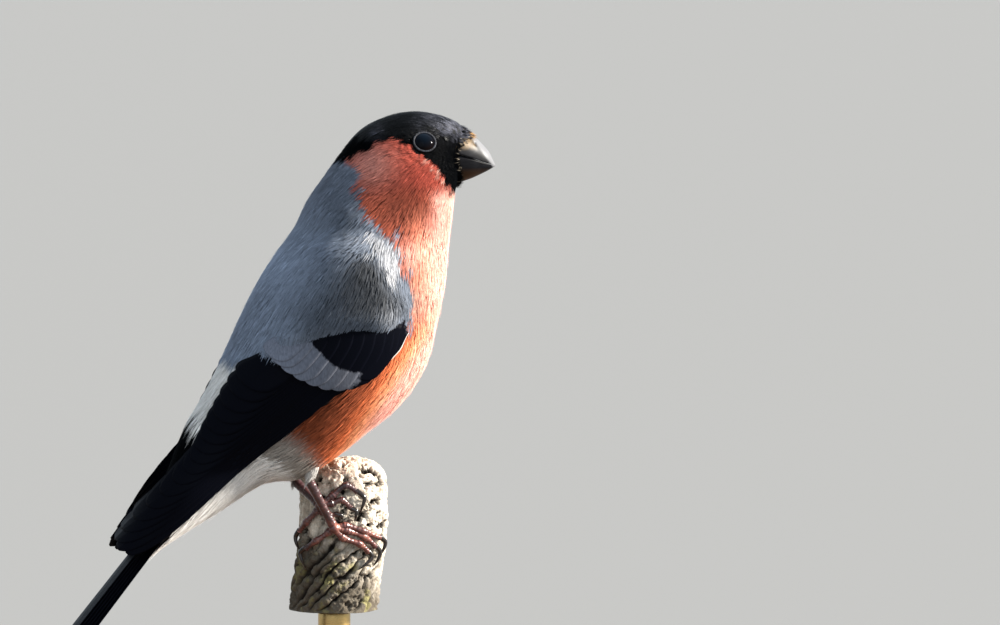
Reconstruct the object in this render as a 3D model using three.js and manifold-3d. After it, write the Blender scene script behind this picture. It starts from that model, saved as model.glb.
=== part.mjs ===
// Male bullfinch, life size, perched upright on a weathered stub above an oval display base.
// Millimetres, +Z up. The bird faces +X with its right side towards -Y.
// The origin is the middle of the underside of the base.

import * as THREE from 'three';
import { mergeVertices } from 'three/addons/utils/BufferGeometryUtils.js';
import Module from 'manifold-3d';

const wasm = await Module();
wasm.setup();

// Driving dimensions of the stand and the perch
const BASE_LENGTH = 102;
const BASE_WIDTH = 68;
const BASE_THICKNESS = 10;
const BASE_CHAMFER = 1.6;
const ROD_RADIUS = 2.2;
const PERCH_RADIUS = 9.0;
const PERCH_FOOT = [12.9, 7.8, 22];
const PERCH_TOP = [15.6, 7.8, 53.4];
const PERCH_LUMP = 0.35;
const PERCH_SHOULDER = 0.78;
const PERCH_CROWN = 0.25;

// Driving dimensions of the bird
const GAP = 0.32;
const HEAD_TURN = THREE.MathUtils.degToRad(-8);
const HEAD_PIVOT_X = 18;
const EYE_X = 29.4;
const EYE_Z = 118.35;
const EYE_RADIUS = 2.9;
const LID_RADIUS = 1.9;
const LID_THICKNESS = 0.45;
const TAIL_ROOT = [-9.2, 61.0];
const TAIL_SLOPE = THREE.MathUtils.degToRad(51);
const TAIL_LENGTH = 62;
const TARSUS_RADIUS = 0.85;
const TOE_RADIUS = 0.72;
const CLAW_RADIUS = 0.5;

// Sections of the body from the bill to the root of the tail. Each lies in a plane that
// crosses the bird from a point on its back to a point on its front: [x, z] of both, the
// half width between them, and how far the widest place is moved towards the back.
const BODY = [
  { back: [38.9, 120.1], front: [36.8, 109.9], half: 4.7, egg: 0 },
  { back: [36.9, 121.7], front: [36.2, 108.6], half: 6.7, egg: -0.03 },
  { back: [34.5, 122.9], front: [35.9, 107.2], half: 8.7, egg: -0.05 },
  { back: [31.1, 123.8], front: [35.7, 105.3], half: 10.4, egg: -0.06 },
  { back: [27.0, 124.1], front: [35.5, 103.2], half: 11.7, egg: -0.06 },
  { back: [22.0, 123.0], front: [35.2, 100.8], half: 12.7, egg: -0.04 },
  { back: [16.9, 120.3], front: [34.9, 98.3], half: 13.4, egg: -0.02 },
  { back: [12.6, 115.1], front: [34.6, 95.4], half: 14.2, egg: 0.02 },
  { back: [9.5, 110.6], front: [34.3, 92.4], half: 15.2, egg: 0.04 },
  { back: [6.4, 106.0], front: [33.9, 89.0], half: 16.7, egg: 0.06 },
  { back: [3.9, 100.6], front: [32.9, 84.6], half: 18.1, egg: 0.06 },
  { back: [0.4, 95.9], front: [31.6, 79.0], half: 19.2, egg: 0.05 },
  { back: [-3.1, 90.6], front: [30.3, 73.8], half: 19.6, egg: 0.03 },
  { back: [-6.0, 85.4], front: [27.5, 68.5], half: 19.2, egg: 0.0 },
  { back: [-8.6, 80.0], front: [23.2, 63.4], half: 18.2, egg: -0.02 },
  { back: [-11.0, 75.0], front: [17.4, 58.9], half: 16.4, egg: -0.04 },
  { back: [-13.4, 70.0], front: [11.5, 54.2], half: 14.0, egg: -0.04 },
  { back: [-16.2, 65.2], front: [4.3, 49.8], half: 11.4, egg: -0.02 },
  { back: [-19.2, 60.2], front: [-3.6, 48.8], half: 9.2, egg: 0 },
];
const FLATNESS = 0.86;
const NAPE = 7.0;
const SHOULDER = 9.6;
const RUMP = BODY.length - 1;

const SKIN = { roughness: 0.85, metalness: 0 };
const COLOURS = {
  cap: 0x14161c,
  red: 0xc4644c,
  white: 0xe6e2dc,
  flight: 0x15161f,
  bill: 0x1b1a1c,
  eye: 0x0b0a0c,
  leg: 0x5b3a38,
  claw: 0x241c1e,
  stub: 0xa39b8c,
  plinth: 0x6b4a30,
  rod: 0xb59a5a,
};

const group = new THREE.Group();

// Shared helpers

// Closed shape made of a ball or a barrel whose points are placed by a function.
function shaped(geometry, place) {
  geometry.deleteAttribute('normal');
  geometry.deleteAttribute('uv');
  const merged = mergeVertices(geometry, 1e-5);
  const position = merged.getAttribute('position');
  const point = new THREE.Vector3();
  for (let i = 0; i < position.count; i += 1) {
    point.fromBufferAttribute(position, i);
    const placed = place(point);
    position.setXYZ(i, placed.x, placed.y, placed.z);
  }
  return solid(merged);
}

// Barrel with flat ends: place(along 0..1, angle, reach 0 on the axis or 1 on the wall)
function barrel(around, along, place) {
  const geometry = new THREE.CylinderGeometry(1, 1, 1, around, along);
  return shaped(geometry, (p) => {
    const angle = Math.atan2(p.z, p.x);
    return place(p.y + 0.5, angle, Math.min(1, Math.hypot(p.x, p.z)));
  });
}

// Ball with a pole at each end: place(along 0..1, angle, reach 0 at the poles or 1)
function ball(around, along, place) {
  const geometry = new THREE.SphereGeometry(1, around, along);
  return shaped(geometry, (p) => {
    const along01 = Math.acos(THREE.MathUtils.clamp(-p.y, -1, 1)) / Math.PI;
    const reach = Math.hypot(p.x, p.z) < 1e-4 ? 0 : 1;
    return place(along01, Math.atan2(p.z, p.x), reach);
  });
}

// Thin sheet, split into triangles alike on both faces and closed round its rim:
// place(across -1..1, along 0..1, face +1 outside or -1 inside)
function sheet(across, along, place) {
  const plane = new THREE.PlaneGeometry(2, 1, across, along);
  const flat = plane.getAttribute('position');
  const count = flat.count;
  const points = new Float32Array(count * 6);
  for (let i = 0; i < count; i += 1) {
    const u = flat.getX(i);
    const v = flat.getY(i) + 0.5;
    place(u, v, 1).toArray(points, i * 3);
    place(u, v, -1).toArray(points, (count + i) * 3);
  }
  const face = Array.from(plane.getIndex().array);
  const index = [...face];
  for (let i = 0; i < face.length; i += 3) {
    index.push(face[i] + count, face[i + 2] + count, face[i + 1] + count);
  }
  const row = across + 1;
  const rim = [];
  for (let i = 0; i < across; i += 1) rim.push(i);
  for (let i = 0; i < along; i += 1) rim.push(across + i * row);
  for (let i = across; i > 0; i -= 1) rim.push(along * row + i);
  for (let i = along; i > 0; i -= 1) rim.push(i * row);
  rim.forEach((from, i) => {
    const to = rim[(i + 1) % rim.length];
    index.push(from, to, to + count, from, to + count, from + count);
  });
  const geometry = new THREE.BufferGeometry();
  geometry.setAttribute('position', new THREE.BufferAttribute(points, 3));
  geometry.setIndex(index);
  return solid(geometry);
}

function signedVolume(position, index) {
  let total = 0;
  const a = new THREE.Vector3();
  const b = new THREE.Vector3();
  const c = new THREE.Vector3();
  for (let i = 0; i < index.length; i += 3) {
    a.fromBufferAttribute(position, index[i]);
    b.fromBufferAttribute(position, index[i + 1]);
    c.fromBufferAttribute(position, index[i + 2]);
    total += a.dot(b.cross(c)) / 6;
  }
  return total;
}

// Solid for joining and cutting, turned so that its faces point out.
function solid(geometry) {
  const position = geometry.getAttribute('position');
  const index = Uint32Array.from(geometry.getIndex().array);
  if (signedVolume(position, index) < 0) {
    for (let i = 0; i < index.length; i += 3) {
      [index[i], index[i + 1]] = [index[i + 1], index[i]];
    }
  }
  const mesh = new wasm.Mesh({
    numProp: 3,
    vertProperties: Float32Array.from(position.array),
    triVerts: index,
  });
  return new wasm.Manifold(mesh);
}

function largestBody(body) {
  const bodies = body.decompose();
  return bodies.reduce((best, one) => (one.volume() > best.volume() ? one : best), bodies[0]);
}

function joined(bodies) {
  return bodies.reduce((sum, one) => sum.add(one));
}

function add(name, body, colour, finish = SKIN) {
  const mesh = largestBody(body).getMesh();
  const geometry = new THREE.BufferGeometry();
  geometry.setAttribute('position', new THREE.BufferAttribute(mesh.vertProperties, 3));
  geometry.setIndex(new THREE.BufferAttribute(mesh.triVerts, 1));
  geometry.computeVertexNormals();
  const material = new THREE.MeshStandardMaterial({ color: colour, ...finish });
  const part = new THREE.Mesh(geometry, material);
  part.name = name;
  group.add(part);
}

function mirrored(body) {
  return body.mirror([0, 1, 0]);
}

// Smooth value between the rows of a list, as a Catmull-Rom spline.
function spline(values, at) {
  const last = values.length - 1;
  const clamped = THREE.MathUtils.clamp(at, 0, last);
  const i = Math.min(Math.floor(clamped), last - 1);
  const t = clamped - i;
  const before = values[Math.max(i - 1, 0)];
  const from = values[i];
  const to = values[i + 1];
  const after = values[Math.min(i + 2, last)];
  const slopeFrom = (to - before) / 2;
  const slopeTo = (after - from) / 2;
  const t2 = t * t;
  const t3 = t2 * t;
  return (2 * t3 - 3 * t2 + 1) * from + (t3 - 2 * t2 + t) * slopeFrom
    + (3 * t2 - 2 * t3) * to + (t3 - t2) * slopeTo;
}

function section(rows, at) {
  const read = (pick) => spline(rows.map(pick), at);
  return {
    back: [read((r) => r.back[0]), read((r) => r.back[1])],
    front: [read((r) => r.front[0]), read((r) => r.front[1])],
    half: read((r) => r.half),
    egg: read((r) => r.egg),
  };
}

// Point of a section: angle 0 at the back, pi at the front, the bird's right side below zero.
function sectionPoint(cut, angle, reach = 1) {
  const middle = [(cut.back[0] + cut.front[0]) / 2, (cut.back[1] + cut.front[1]) / 2];
  const arm = [(cut.back[0] - cut.front[0]) / 2, (cut.back[1] - cut.front[1]) / 2];
  const high = Math.cos(angle) * reach;
  const round = Math.sign(Math.sin(angle)) * Math.abs(Math.sin(angle)) ** FLATNESS;
  const side = round * cut.half * (1 + cut.egg * Math.cos(angle)) * reach;
  return new THREE.Vector3(middle[0] + arm[0] * high, side, middle[1] + arm[1] * high);
}

// The head looks a little to the bird's right: the turn grows through the neck.
function turned(point, at) {
  const share = 1 - THREE.MathUtils.smoothstep(at, 5, SHOULDER + 0.6);
  const swing = HEAD_TURN * share;
  const dx = point.x - HEAD_PIVOT_X;
  return new THREE.Vector3(
    HEAD_PIVOT_X + dx * Math.cos(swing) - point.y * Math.sin(swing),
    dx * Math.sin(swing) + point.y * Math.cos(swing),
    point.z,
  );
}

// Length of body between two sections. swell grows it outwards on every side, and trim
// moves its first end face along the body by the gap that neighbours keep.
function bodyLength(from, to, around, along, swell = 0, trim = 0) {
  return barrel(around, along, (f, angle, reach) => {
    const at = from + (to - from) * f;
    const cut = section(BODY, at);
    const dx = cut.back[0] - cut.front[0];
    const dz = cut.back[1] - cut.front[1];
    const length = Math.hypot(dx, dz);
    const grown = {
      back: [cut.back[0] + (dx / length) * swell, cut.back[1] + (dz / length) * swell],
      front: [cut.front[0] - (dx / length) * swell, cut.front[1] - (dz / length) * swell],
      half: cut.half + swell,
      egg: cut.egg,
    };
    const point = sectionPoint(grown, angle, reach);
    if (f < 1e-6) {
      point.x += (dz / length) * trim * -1;
      point.z += (dx / length) * trim;
    }
    return turned(point, at);
  });
}

// Tapered round tube through a few points, with a radius at each and rounded ends.
function limb(points, radii, around, along) {
  const curve = new THREE.CatmullRomCurve3(points.map((p) => new THREE.Vector3(...p)));
  return ball(around, along, (f, angle, reach) => {
    const centre = curve.getPoint(f);
    const ahead = curve.getTangent(f);
    const aside = new THREE.Vector3(0, 1, 0).cross(ahead).normalize();
    const across = ahead.clone().cross(aside);
    const radius = spline(radii, f * (radii.length - 1)) * reach;
    return centre.addScaledVector(aside, Math.cos(angle) * radius)
      .addScaledVector(across, Math.sin(angle) * radius);
  });
}

function sphere(centre, radius, around = 16, along = 10) {
  return ball(around, along, (f, angle, reach) => {
    const tilt = Math.PI * f;
    const flat = Math.sin(tilt) * radius * reach;
    return new THREE.Vector3(
      centre.x + Math.cos(angle) * flat,
      centre.y + Math.cos(tilt) * radius,
      centre.z + Math.sin(angle) * flat,
    );
  });
}

// Head with its eye sockets, lids and eyes
function makeHead() {
  const lidDepth = Math.sqrt(EYE_RADIUS ** 2 - LID_RADIUS ** 2);
  const depth = (x, z) => sideOfBody(x, z, 0, NAPE);
  const slopeX = depth(EYE_X + 1, EYE_Z) - depth(EYE_X - 1, EYE_Z);
  const slopeZ = depth(EYE_X, EYE_Z + 1) - depth(EYE_X, EYE_Z - 1);
  let head = bodyLength(0, NAPE, 28, 13);
  const eyes = [];
  for (const side of [-1, 1]) {
    const outward = new THREE.Vector3(-slopeX / 2, side, -slopeZ / 2).normalize();
    const place = new THREE.Vector3(EYE_X, side * depth(EYE_X, EYE_Z), EYE_Z);
    const sunk = place.clone().addScaledVector(outward, -lidDepth);
    const centre = turned(sunk, 0);
    const axis = turned(sunk.clone().add(outward), 0).sub(centre);
    head = head.add(lidRing(centre, axis, lidDepth));
    head = head.subtract(sphere(centre, EYE_RADIUS + GAP));
    eyes.push(sphere(centre, EYE_RADIUS));
  }
  add('head', head, COLOURS.cap);
  add('eye_right', eyes[0], COLOURS.eye, { roughness: 0.05, metalness: 0 });
  add('eye_left', eyes[1], COLOURS.eye, { roughness: 0.05, metalness: 0 });
}

// Ring of the lids round one eye
function lidRing(centre, outward, depth) {
  const ring = new THREE.TorusGeometry(LID_RADIUS + LID_THICKNESS, LID_THICKNESS, 6, 16);
  const turn = new THREE.Quaternion();
  turn.setFromUnitVectors(new THREE.Vector3(0, 0, 1), outward.clone().normalize());
  const middle = centre.clone().addScaledVector(outward, depth - 0.15);
  return shaped(ring, (p) => p.clone().applyQuaternion(turn).add(middle));
}

// Half width of the body where a point of the side view lies on it
function sideOfBody(x, z, from, to) {
  const cut = section(BODY, sectionThrough(BODY, x, z, from, to));
  return sideOfSection(cut, x, z);
}

function sideOfSection(cut, x, z) {
  const dx = cut.back[0] - cut.front[0];
  const dz = cut.back[1] - cut.front[1];
  const share = ((x - cut.front[0]) * dx + (z - cut.front[1]) * dz) / (dx * dx + dz * dz);
  const high = THREE.MathUtils.clamp(2 * share - 1, -1, 1);
  return (1 - high * high) ** (FLATNESS / 2) * cut.half * (1 + cut.egg * high);
}

// Place along the body of the section whose plane holds a point of the side view
function sectionThrough(rows, x, z, from, to) {
  let low = from;
  let high = to;
  const side = (at) => {
    const cut = section(rows, at);
    return (cut.back[0] - cut.front[0]) * (z - cut.front[1])
      - (cut.back[1] - cut.front[1]) * (x - cut.front[0]);
  };
  const lowSide = side(low);
  for (let i = 0; i < 30; i += 1) {
    const middle = (low + high) / 2;
    if (side(middle) * lowSide > 0) low = middle;
    else high = middle;
  }
  return (low + high) / 2;
}

// Bill: rows from the face to the tip give [x, top z, mouth z, bottom z, half width]
const BILL = [
  [39.15, 119.9, 115.2, 110.3, 4.5],
  [40.7, 118.5, 114.6, 110.8, 3.9],
  [42.1, 117.1, 114.0, 111.5, 2.9],
  [43.4, 115.5, 113.5, 112.3, 1.8],
];
const BILL_TIP = [44.4, 113.05];
const BILL_LEAN = 0.206;
const BILL_POINT = 0.985;
const NOSTRIL = [40.1, 3.0, 117.6];
const NOSTRIL_RADIUS = 0.62;

function makeBill() {
  const rows = [...BILL, [BILL_TIP[0], BILL_TIP[1], BILL_TIP[1], BILL_TIP[1], 0]];
  const read = (column, f) => spline(rows.map((r) => r[column]), f * (rows.length - 1));
  const shell = (upper) => barrel(20, 8, (f, angle, reach) => {
    const end = f > 1 - 1e-6;
    const at = Math.min(f, BILL_POINT);
    const mouth = read(2, at) + (upper ? GAP / 2 : -GAP / 2);
    const rim = read(upper ? 1 : 3, at);
    const high = Math.max(0, Math.sin(angle)) * reach;
    const z = end ? mouth : mouth + (rim - mouth) * high;
    const y = read(4, at) * Math.cos(angle) * reach * (end ? 0.6 : 1);
    const lean = BILL_LEAN * (z - BILL[0][1]) * (1 - f);
    const x = read(0, at) + lean + (end ? 0.1 : 0);
    return turned(new THREE.Vector3(x, y, z), 0);
  });
  let top = shell(true);
  for (const side of [-1, 1]) {
    const place = new THREE.Vector3(NOSTRIL[0], side * NOSTRIL[1], NOSTRIL[2]);
    top = top.subtract(sphere(turned(place, 0), NOSTRIL_RADIUS, 10, 8));
  }
  add('bill_upper', top, COLOURS.bill, { roughness: 0.3, metalness: 0 });
  add('bill_lower', shell(false), COLOURS.bill, { roughness: 0.35, metalness: 0 });
}

// Wings: a wing lies over the body from the shoulder to a tip above the root of the tail.
const TAIL_ALONG = [-Math.cos(TAIL_SLOPE), -Math.sin(TAIL_SLOPE)];
const TAIL_UP = [-Math.sin(TAIL_SLOPE), Math.cos(TAIL_SLOPE)];

function onTail(along, up) {
  return [
    TAIL_ROOT[0] + TAIL_ALONG[0] * along + TAIL_UP[0] * up,
    TAIL_ROOT[1] + TAIL_ALONG[1] * along + TAIL_UP[1] * up,
  ];
}

const DECK = [
  ...BODY,
  { back: onTail(17, 6.4), front: onTail(17, -9.5), half: 9.0, egg: 0 },
  { back: onTail(27, 4.6), front: onTail(27, -6.5), half: 7.4, egg: 0 },
  { back: onTail(38, 3.4), front: onTail(38, -4), half: 5.6, egg: 0 },
  { back: onTail(48, 3.2), front: onTail(48, -3), half: 4.6, egg: 0 },
];
const WING_LOWER = [
  [22.8, 89.0], [24.2, 84.0], [20.6, 76.6], [14.6, 70.6], [7.6, 66.2],
  [0.2, 61.4], [-9.0, 54.4], [-20.0, 45.6], [-30.0, 38.4],
];
const WING_UPPER = [
  [22.8, 89.0], [19.5, 95.5], [12.5, 100.4], [4.8, 98.2], [0.0, 90.6],
  [-4.4, 81.6], [-9.4, 71.0], [-18.4, 55.4], [-30.0, 38.4],
];
const WING_CLEARANCE = 0.5;
const WING_SHOULDER = 2.9;
const WING_BLADE = 1.1;
const WING_UNDERSIDE = 0.3;
const VANE_THICKNESS = 0.55;
const VANE_TILT = 0.17;

// Rows of wing feathers, each from its outermost to its innermost. roots and tips are lines of
// [x, z] in the side view that the feathers' ends follow, lift is how far roots and tips lie off
// the body, bow is how far they curve up off a straight line, and uneven is how far one tip or
// another falls short of its line.
const WING_ROWS = [
  {
    count: 11,
    roots: [[14.2, 74.6], [8.6, 80.6], [2.0, 86.5]],
    tips: [
      [-31.8, 35.2], [-33.2, 36.0], [-32.0, 38.6], [-29.4, 41.8], [-26.2, 45.4], [-23.0, 48.8],
      [-20.2, 51.6], [-18.2, 54.4], [-16.4, 57.4], [-14.4, 60.8], [-12.2, 64.6], [-9.9, 68.8],
      [-7.4, 73.2],
    ],
    width: [5.0, 6.8],
    lift: [[1.75, 2.6], [1.5, 2.3]],
    uneven: 0,
    bow: [1.2, -0.9],
    stations: 5,
  },
  {
    count: 3,
    roots: [[19.4, 79.6], [17.6, 81.4]],
    tips: [[7.2, 68.8], [9.8, 71.4]],
    width: [3.4, 4.0],
    lift: [[2.2, 2.8], [2.3, 2.7]],
    uneven: 0.4,
    bow: [-0.3, -0.5],
    stations: 4,
  },
  {
    count: 7,
    roots: [[20.4, 81.6], [12.5, 85.0], [4.4, 87.4]],
    tips: [[12.4, 71.6], [8.0, 69.8], [2.0, 70.8], [-2.4, 73.4], [-5.0, 75.8]],
    width: [5.0, 5.6],
    lift: [[2.7, 3.4], [2.75, 3.1]],
    uneven: 0.5,
    bow: [-0.7, -0.7],
    stations: 4,
  },
  {
    count: 2,
    roots: [[22.2, 80.8], [21.2, 83.0]],
    tips: [[14.9, 73.9], [15.5, 76.3]],
    width: [3.2, 3.2],
    lift: [[2.5, 3.0], [2.7, 3.0]],
    uneven: 0,
    bow: [-0.3, -0.3],
    stations: 4,
  },
];

// Point of the right wing over a place in the side view, lifted off the body
function wingPoint(x, z, lift) {
  const step = 0.2;
  const depth = (px, pz) => {
    const at = sectionThrough(DECK, px, pz, SHOULDER - 4, DECK.length - 1);
    return sideOfSection(section(DECK, at), px, pz);
  };
  const here = depth(x, z);
  const slopeX = (depth(x + step, z) - depth(x - step, z)) / (2 * step);
  const slopeZ = (depth(x, z + step) - depth(x, z - step)) / (2 * step);
  const out = new THREE.Vector3(-slopeX, 1, -slopeZ).normalize();
  return new THREE.Vector3(x + out.x * lift, -(here + out.y * lift), z + out.z * lift);
}

function edgePoint(points, f) {
  const at = f * (points.length - 1);
  return [spline(points.map((p) => p[0]), at), spline(points.map((p) => p[1]), at)];
}

// Half width of a feather along its length as a share of the widest, blunt and round at the tip
function vaneOutline(f) {
  const root = 0.45 + 0.55 * THREE.MathUtils.smoothstep(f, 0, 0.4);
  return root * (1 - 0.8 * THREE.MathUtils.clamp((f - 0.72) / 0.28, 0, 1) ** 2.6);
}

function vaneStation(row, count) {
  return 1 - (1 - row / count) ** 1.7;
}

function mix(from, to, share) {
  return from + (to - from) * share;
}

function wingVane(feather) {
  const { root, tip, width, lift, bow, stations } = feather;
  const dx = tip[0] - root[0];
  const dz = tip[1] - root[1];
  const length = Math.hypot(dx, dz);
  const aside = [dz / length, -dx / length];
  return sheet(1, stations, (u, v, face) => {
    const f = vaneStation((1 - v) * stations, stations);
    const off = u * (width / 2) * vaneOutline(f);
    const across = off + bow * Math.sin(Math.PI * f);
    const raised = mix(lift[0], lift[1], f) - off * VANE_TILT + (face * VANE_THICKNESS) / 2;
    return wingPoint(
      root[0] + dx * f + aside[0] * across,
      root[1] + dz * f + aside[1] * across,
      raised,
    );
  });
}

function wingRow(row) {
  const vanes = [];
  for (let i = 0; i < row.count; i += 1) {
    const share = i / (row.count - 1);
    const root = edgePoint(row.roots, share);
    const full = edgePoint(row.tips, share);
    const length = Math.hypot(full[0] - root[0], full[1] - root[1]);
    const short = (row.uneven * (1 + Math.sin(7 * i))) / (2 * length);
    const tip = [0, 1].map((k) => mix(full[k], root[k], short));
    const lift = row.lift.map((pair) => mix(pair[0], pair[1], share));
    const width = mix(...row.width, share);
    vanes.push(wingVane({ ...row, root, tip, lift, width, bow: mix(...row.bow, share) }));
  }
  return vanes;
}

function wingCore() {
  return ball(16, 14, (f, angle) => {
    const low = edgePoint(WING_LOWER, f);
    const high = edgePoint(WING_UPPER, f);
    const share = (1 + Math.cos(angle)) / 2;
    const bulge = Math.sin(angle);
    const thick = mix(WING_SHOULDER, WING_BLADE, THREE.MathUtils.smoothstep(f, 0.3, 0.62));
    const full = thick * Math.min(1, 5 * f);
    const over = Math.max(0, bulge) ** 0.7 * full;
    const under = (1 - Math.max(0, -bulge)) * WING_UNDERSIDE;
    const lift = WING_CLEARANCE + over + under;
    return wingPoint(mix(low[0], high[0], share), mix(low[1], high[1], share), lift);
  });
}

function makeWing() {
  const wing = joined([wingCore(), ...WING_ROWS.flatMap(wingRow)]);
  const whole = largestBody(wing
    .subtract(bodyLength(NAPE, RUMP, 40, 24, GAP))
    .subtract(tailCore(GAP)));
  add('wing_right', whole, COLOURS.flight, { roughness: 0.55, metalness: 0 });
  add('wing_left', mirrored(whole), COLOURS.flight, { roughness: 0.55, metalness: 0 });
}

// Tail: the coverts taper over the roots of the tail feathers.
const COVERTS = [
  { back: BODY[RUMP].back, front: BODY[RUMP].front, half: 9.2, egg: 0 },
  { back: onTail(16, 4.4), front: onTail(16, -8.4), half: 8.2, egg: 0 },
  { back: onTail(27, 1.8), front: onTail(27, -4.4), half: 6.4, egg: 0 },
  { back: onTail(38, 0.3), front: onTail(38, -1.6), half: 3.6, egg: 0 },
];

function tailCore(swell) {
  return barrel(24, 8, (f, angle, reach) => {
    const cut = section(COVERTS, f * (COVERTS.length - 1));
    const dx = cut.back[0] - cut.front[0];
    const dz = cut.back[1] - cut.front[1];
    const length = Math.hypot(dx, dz);
    const grown = {
      back: [cut.back[0] + (dx / length) * swell, cut.back[1] + (dz / length) * swell],
      front: [cut.front[0] - (dx / length) * swell, cut.front[1] - (dz / length) * swell],
      half: cut.half + swell,
      egg: 0,
    };
    const point = sectionPoint(grown, angle, reach);
    if (f < 1e-6 && swell === 0) {
      point.x += TAIL_ALONG[0] * GAP;
      point.z += TAIL_ALONG[1] * GAP;
    }
    return point;
  });
}

const TAIL_PAIRS = 6;
const TAIL_VANE_WIDTH = 6.2;
const TAIL_NOTCH = 2.2;
const TAIL_ROOT_DEPTH = 9;
const TAIL_STATIONS = 4;
const TAIL_ROOT_SPREAD = [0.7, 0.35];
const TAIL_TIP_SPREAD = [1.2, 0.92];
const TAIL_LAYER = 0.34;
const TAIL_ARCH = 0.012;

// One tail feather: pair 0 is the middle one and lies on top.
function tailVane(pair, side) {
  const share = pair / (TAIL_PAIRS - 1);
  const reach = TAIL_LENGTH - TAIL_NOTCH * (1 - share) ** 1.5;
  const rootAside = side * (TAIL_ROOT_SPREAD[0] + TAIL_ROOT_SPREAD[1] * pair);
  const tipAside = side * (TAIL_TIP_SPREAD[0] + TAIL_TIP_SPREAD[1] * pair);
  return sheet(1, TAIL_STATIONS, (u, v, face) => {
    const f = vaneStation((1 - v) * TAIL_STATIONS, TAIL_STATIONS);
    const aside = mix(rootAside, tipAside, f) + u * (TAIL_VANE_WIDTH / 2) * vaneOutline(f);
    const droop = TAIL_ARCH * aside * aside;
    const under = TAIL_LAYER * (pair + (side > 0 ? 0.5 : 0));
    const along = mix(TAIL_ROOT_DEPTH, reach, f);
    const place = onTail(along, (face * VANE_THICKNESS) / 2 - under - droop);
    return new THREE.Vector3(place[0], aside, place[1]);
  });
}

function makeTail() {
  const vanes = [];
  for (let pair = 0; pair < TAIL_PAIRS; pair += 1) {
    vanes.push(tailVane(pair, -1), tailVane(pair, 1));
  }
  const tail = joined([tailCore(0), ...vanes]);
  add('tail', tail, COLOURS.flight, { roughness: 0.5, metalness: 0 });
}

// Perch: a broken stub, rough and a little crooked, round at its top
function perchSurface(height, angle, swell = 0) {
  const f = (height - PERCH_FOOT[2]) / (PERCH_TOP[2] - PERCH_FOOT[2]);
  const axisX = PERCH_FOOT[0] + (PERCH_TOP[0] - PERCH_FOOT[0]) * f;
  const lump = PERCH_LUMP * (Math.sin(3 * angle + 5 * f) + 0.6 * Math.sin(5 * angle - 9 * f + 1));
  const past = Math.max(0, (f - PERCH_SHOULDER) / (1 - PERCH_SHOULDER));
  const rounded = Math.sqrt(Math.max(0, 1 - past ** 2.4));
  const radius = (PERCH_RADIUS + lump) * mix(PERCH_CROWN, 1, rounded) + swell;
  return new THREE.Vector3(
    axisX + Math.cos(angle) * radius,
    PERCH_FOOT[1] + Math.sin(angle) * radius,
    height,
  );
}

function perchSolid(swell = 0) {
  return barrel(24, 14, (f, angle, reach) => {
    const bent = 1 - (1 - f) ** 1.6;
    const low = PERCH_FOOT[2] - swell;
    const height = low + (PERCH_TOP[2] + swell - low) * bent;
    const point = perchSurface(Math.min(height, PERCH_TOP[2]), angle, swell);
    const axis = perchSurface(Math.min(height, PERCH_TOP[2]), 0, swell);
    const opposite = perchSurface(Math.min(height, PERCH_TOP[2]), Math.PI, swell);
    if (reach < 0.5) point.copy(axis.add(opposite).multiplyScalar(0.5));
    point.z = height;
    return point;
  });
}

// Legs: named from the thigh down. Toes lie on the stub at angles round it.
const VIEW_ANGLE = THREE.MathUtils.degToRad(-102);
const THIGH_RADII = [4.6, 4.6, 2.7, 1.4];
const SHANK_RADII = [1.0, 0.98, TARSUS_RADIUS, TARSUS_RADIUS, 0.95];
const PALM_RADII = [0.5, 1.1, 1.15, 0.9];
const PALM_REACH = 0.9;
const LEGS = {
  right: {
    thigh: [[11, -9, 60], [8.4, -7, 54], [5.9, -5.1, 49.2]],
    ankle: [5.7, -5.0, 48.8],
    palm: [-7, 39.6],
    toes: [
      { name: '1', ends: [[-13, 38.8], [-28, 36.9], [-43, 35.2]], claw: [[-49, 34.4], [-45, 31.0]] },
      { name: '2', ends: [[6, 40.0], [30, 38.8], [58, 37.2]], claw: [[64, 36.4], [64, 33.4]] },
      { name: '3', ends: [[8, 39.0], [32, 37.6], [52, 35.4]], claw: [[57, 34.4], [54, 31.4]] },
      { name: '4', ends: [[4, 37.6], [26, 36.2], [41, 34.4]], claw: [[45, 33.5], [30, 30.9]] },
    ],
  },
  left: {
    thigh: [[4.0, 8.2, 59], [4.0, 6.0, 53.2], [4.6, 3.7, 48.7]],
    ankle: [4.6, 3.5, 48.3],
    palm: [-25, 44.2],
    toes: [
      { name: '1', ends: [[-30, 43.0], [-43, 40.6], [-55, 38.6]], claw: [[-59, 37.6], [-57, 34.4]] },
      { name: '2', ends: [[-13, 46.2], [2, 48.2], [18, 46.8]], claw: [[25, 45.8], [24, 42.4]] },
      { name: '3', ends: [[-13, 44.6], [-1, 45.2], [12, 43.5]], claw: [[17, 43.0], [18, 40.7]] },
      { name: '4', ends: [[-23, 42.8], [-14, 42.2], [-6, 42.4]], claw: [[-1, 42.2], [2, 41.2]] },
    ],
  },
};

function onPerch(degrees, height, lift) {
  const angle = VIEW_ANGLE + THREE.MathUtils.degToRad(degrees);
  return perchSurface(height, angle, lift);
}

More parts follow.
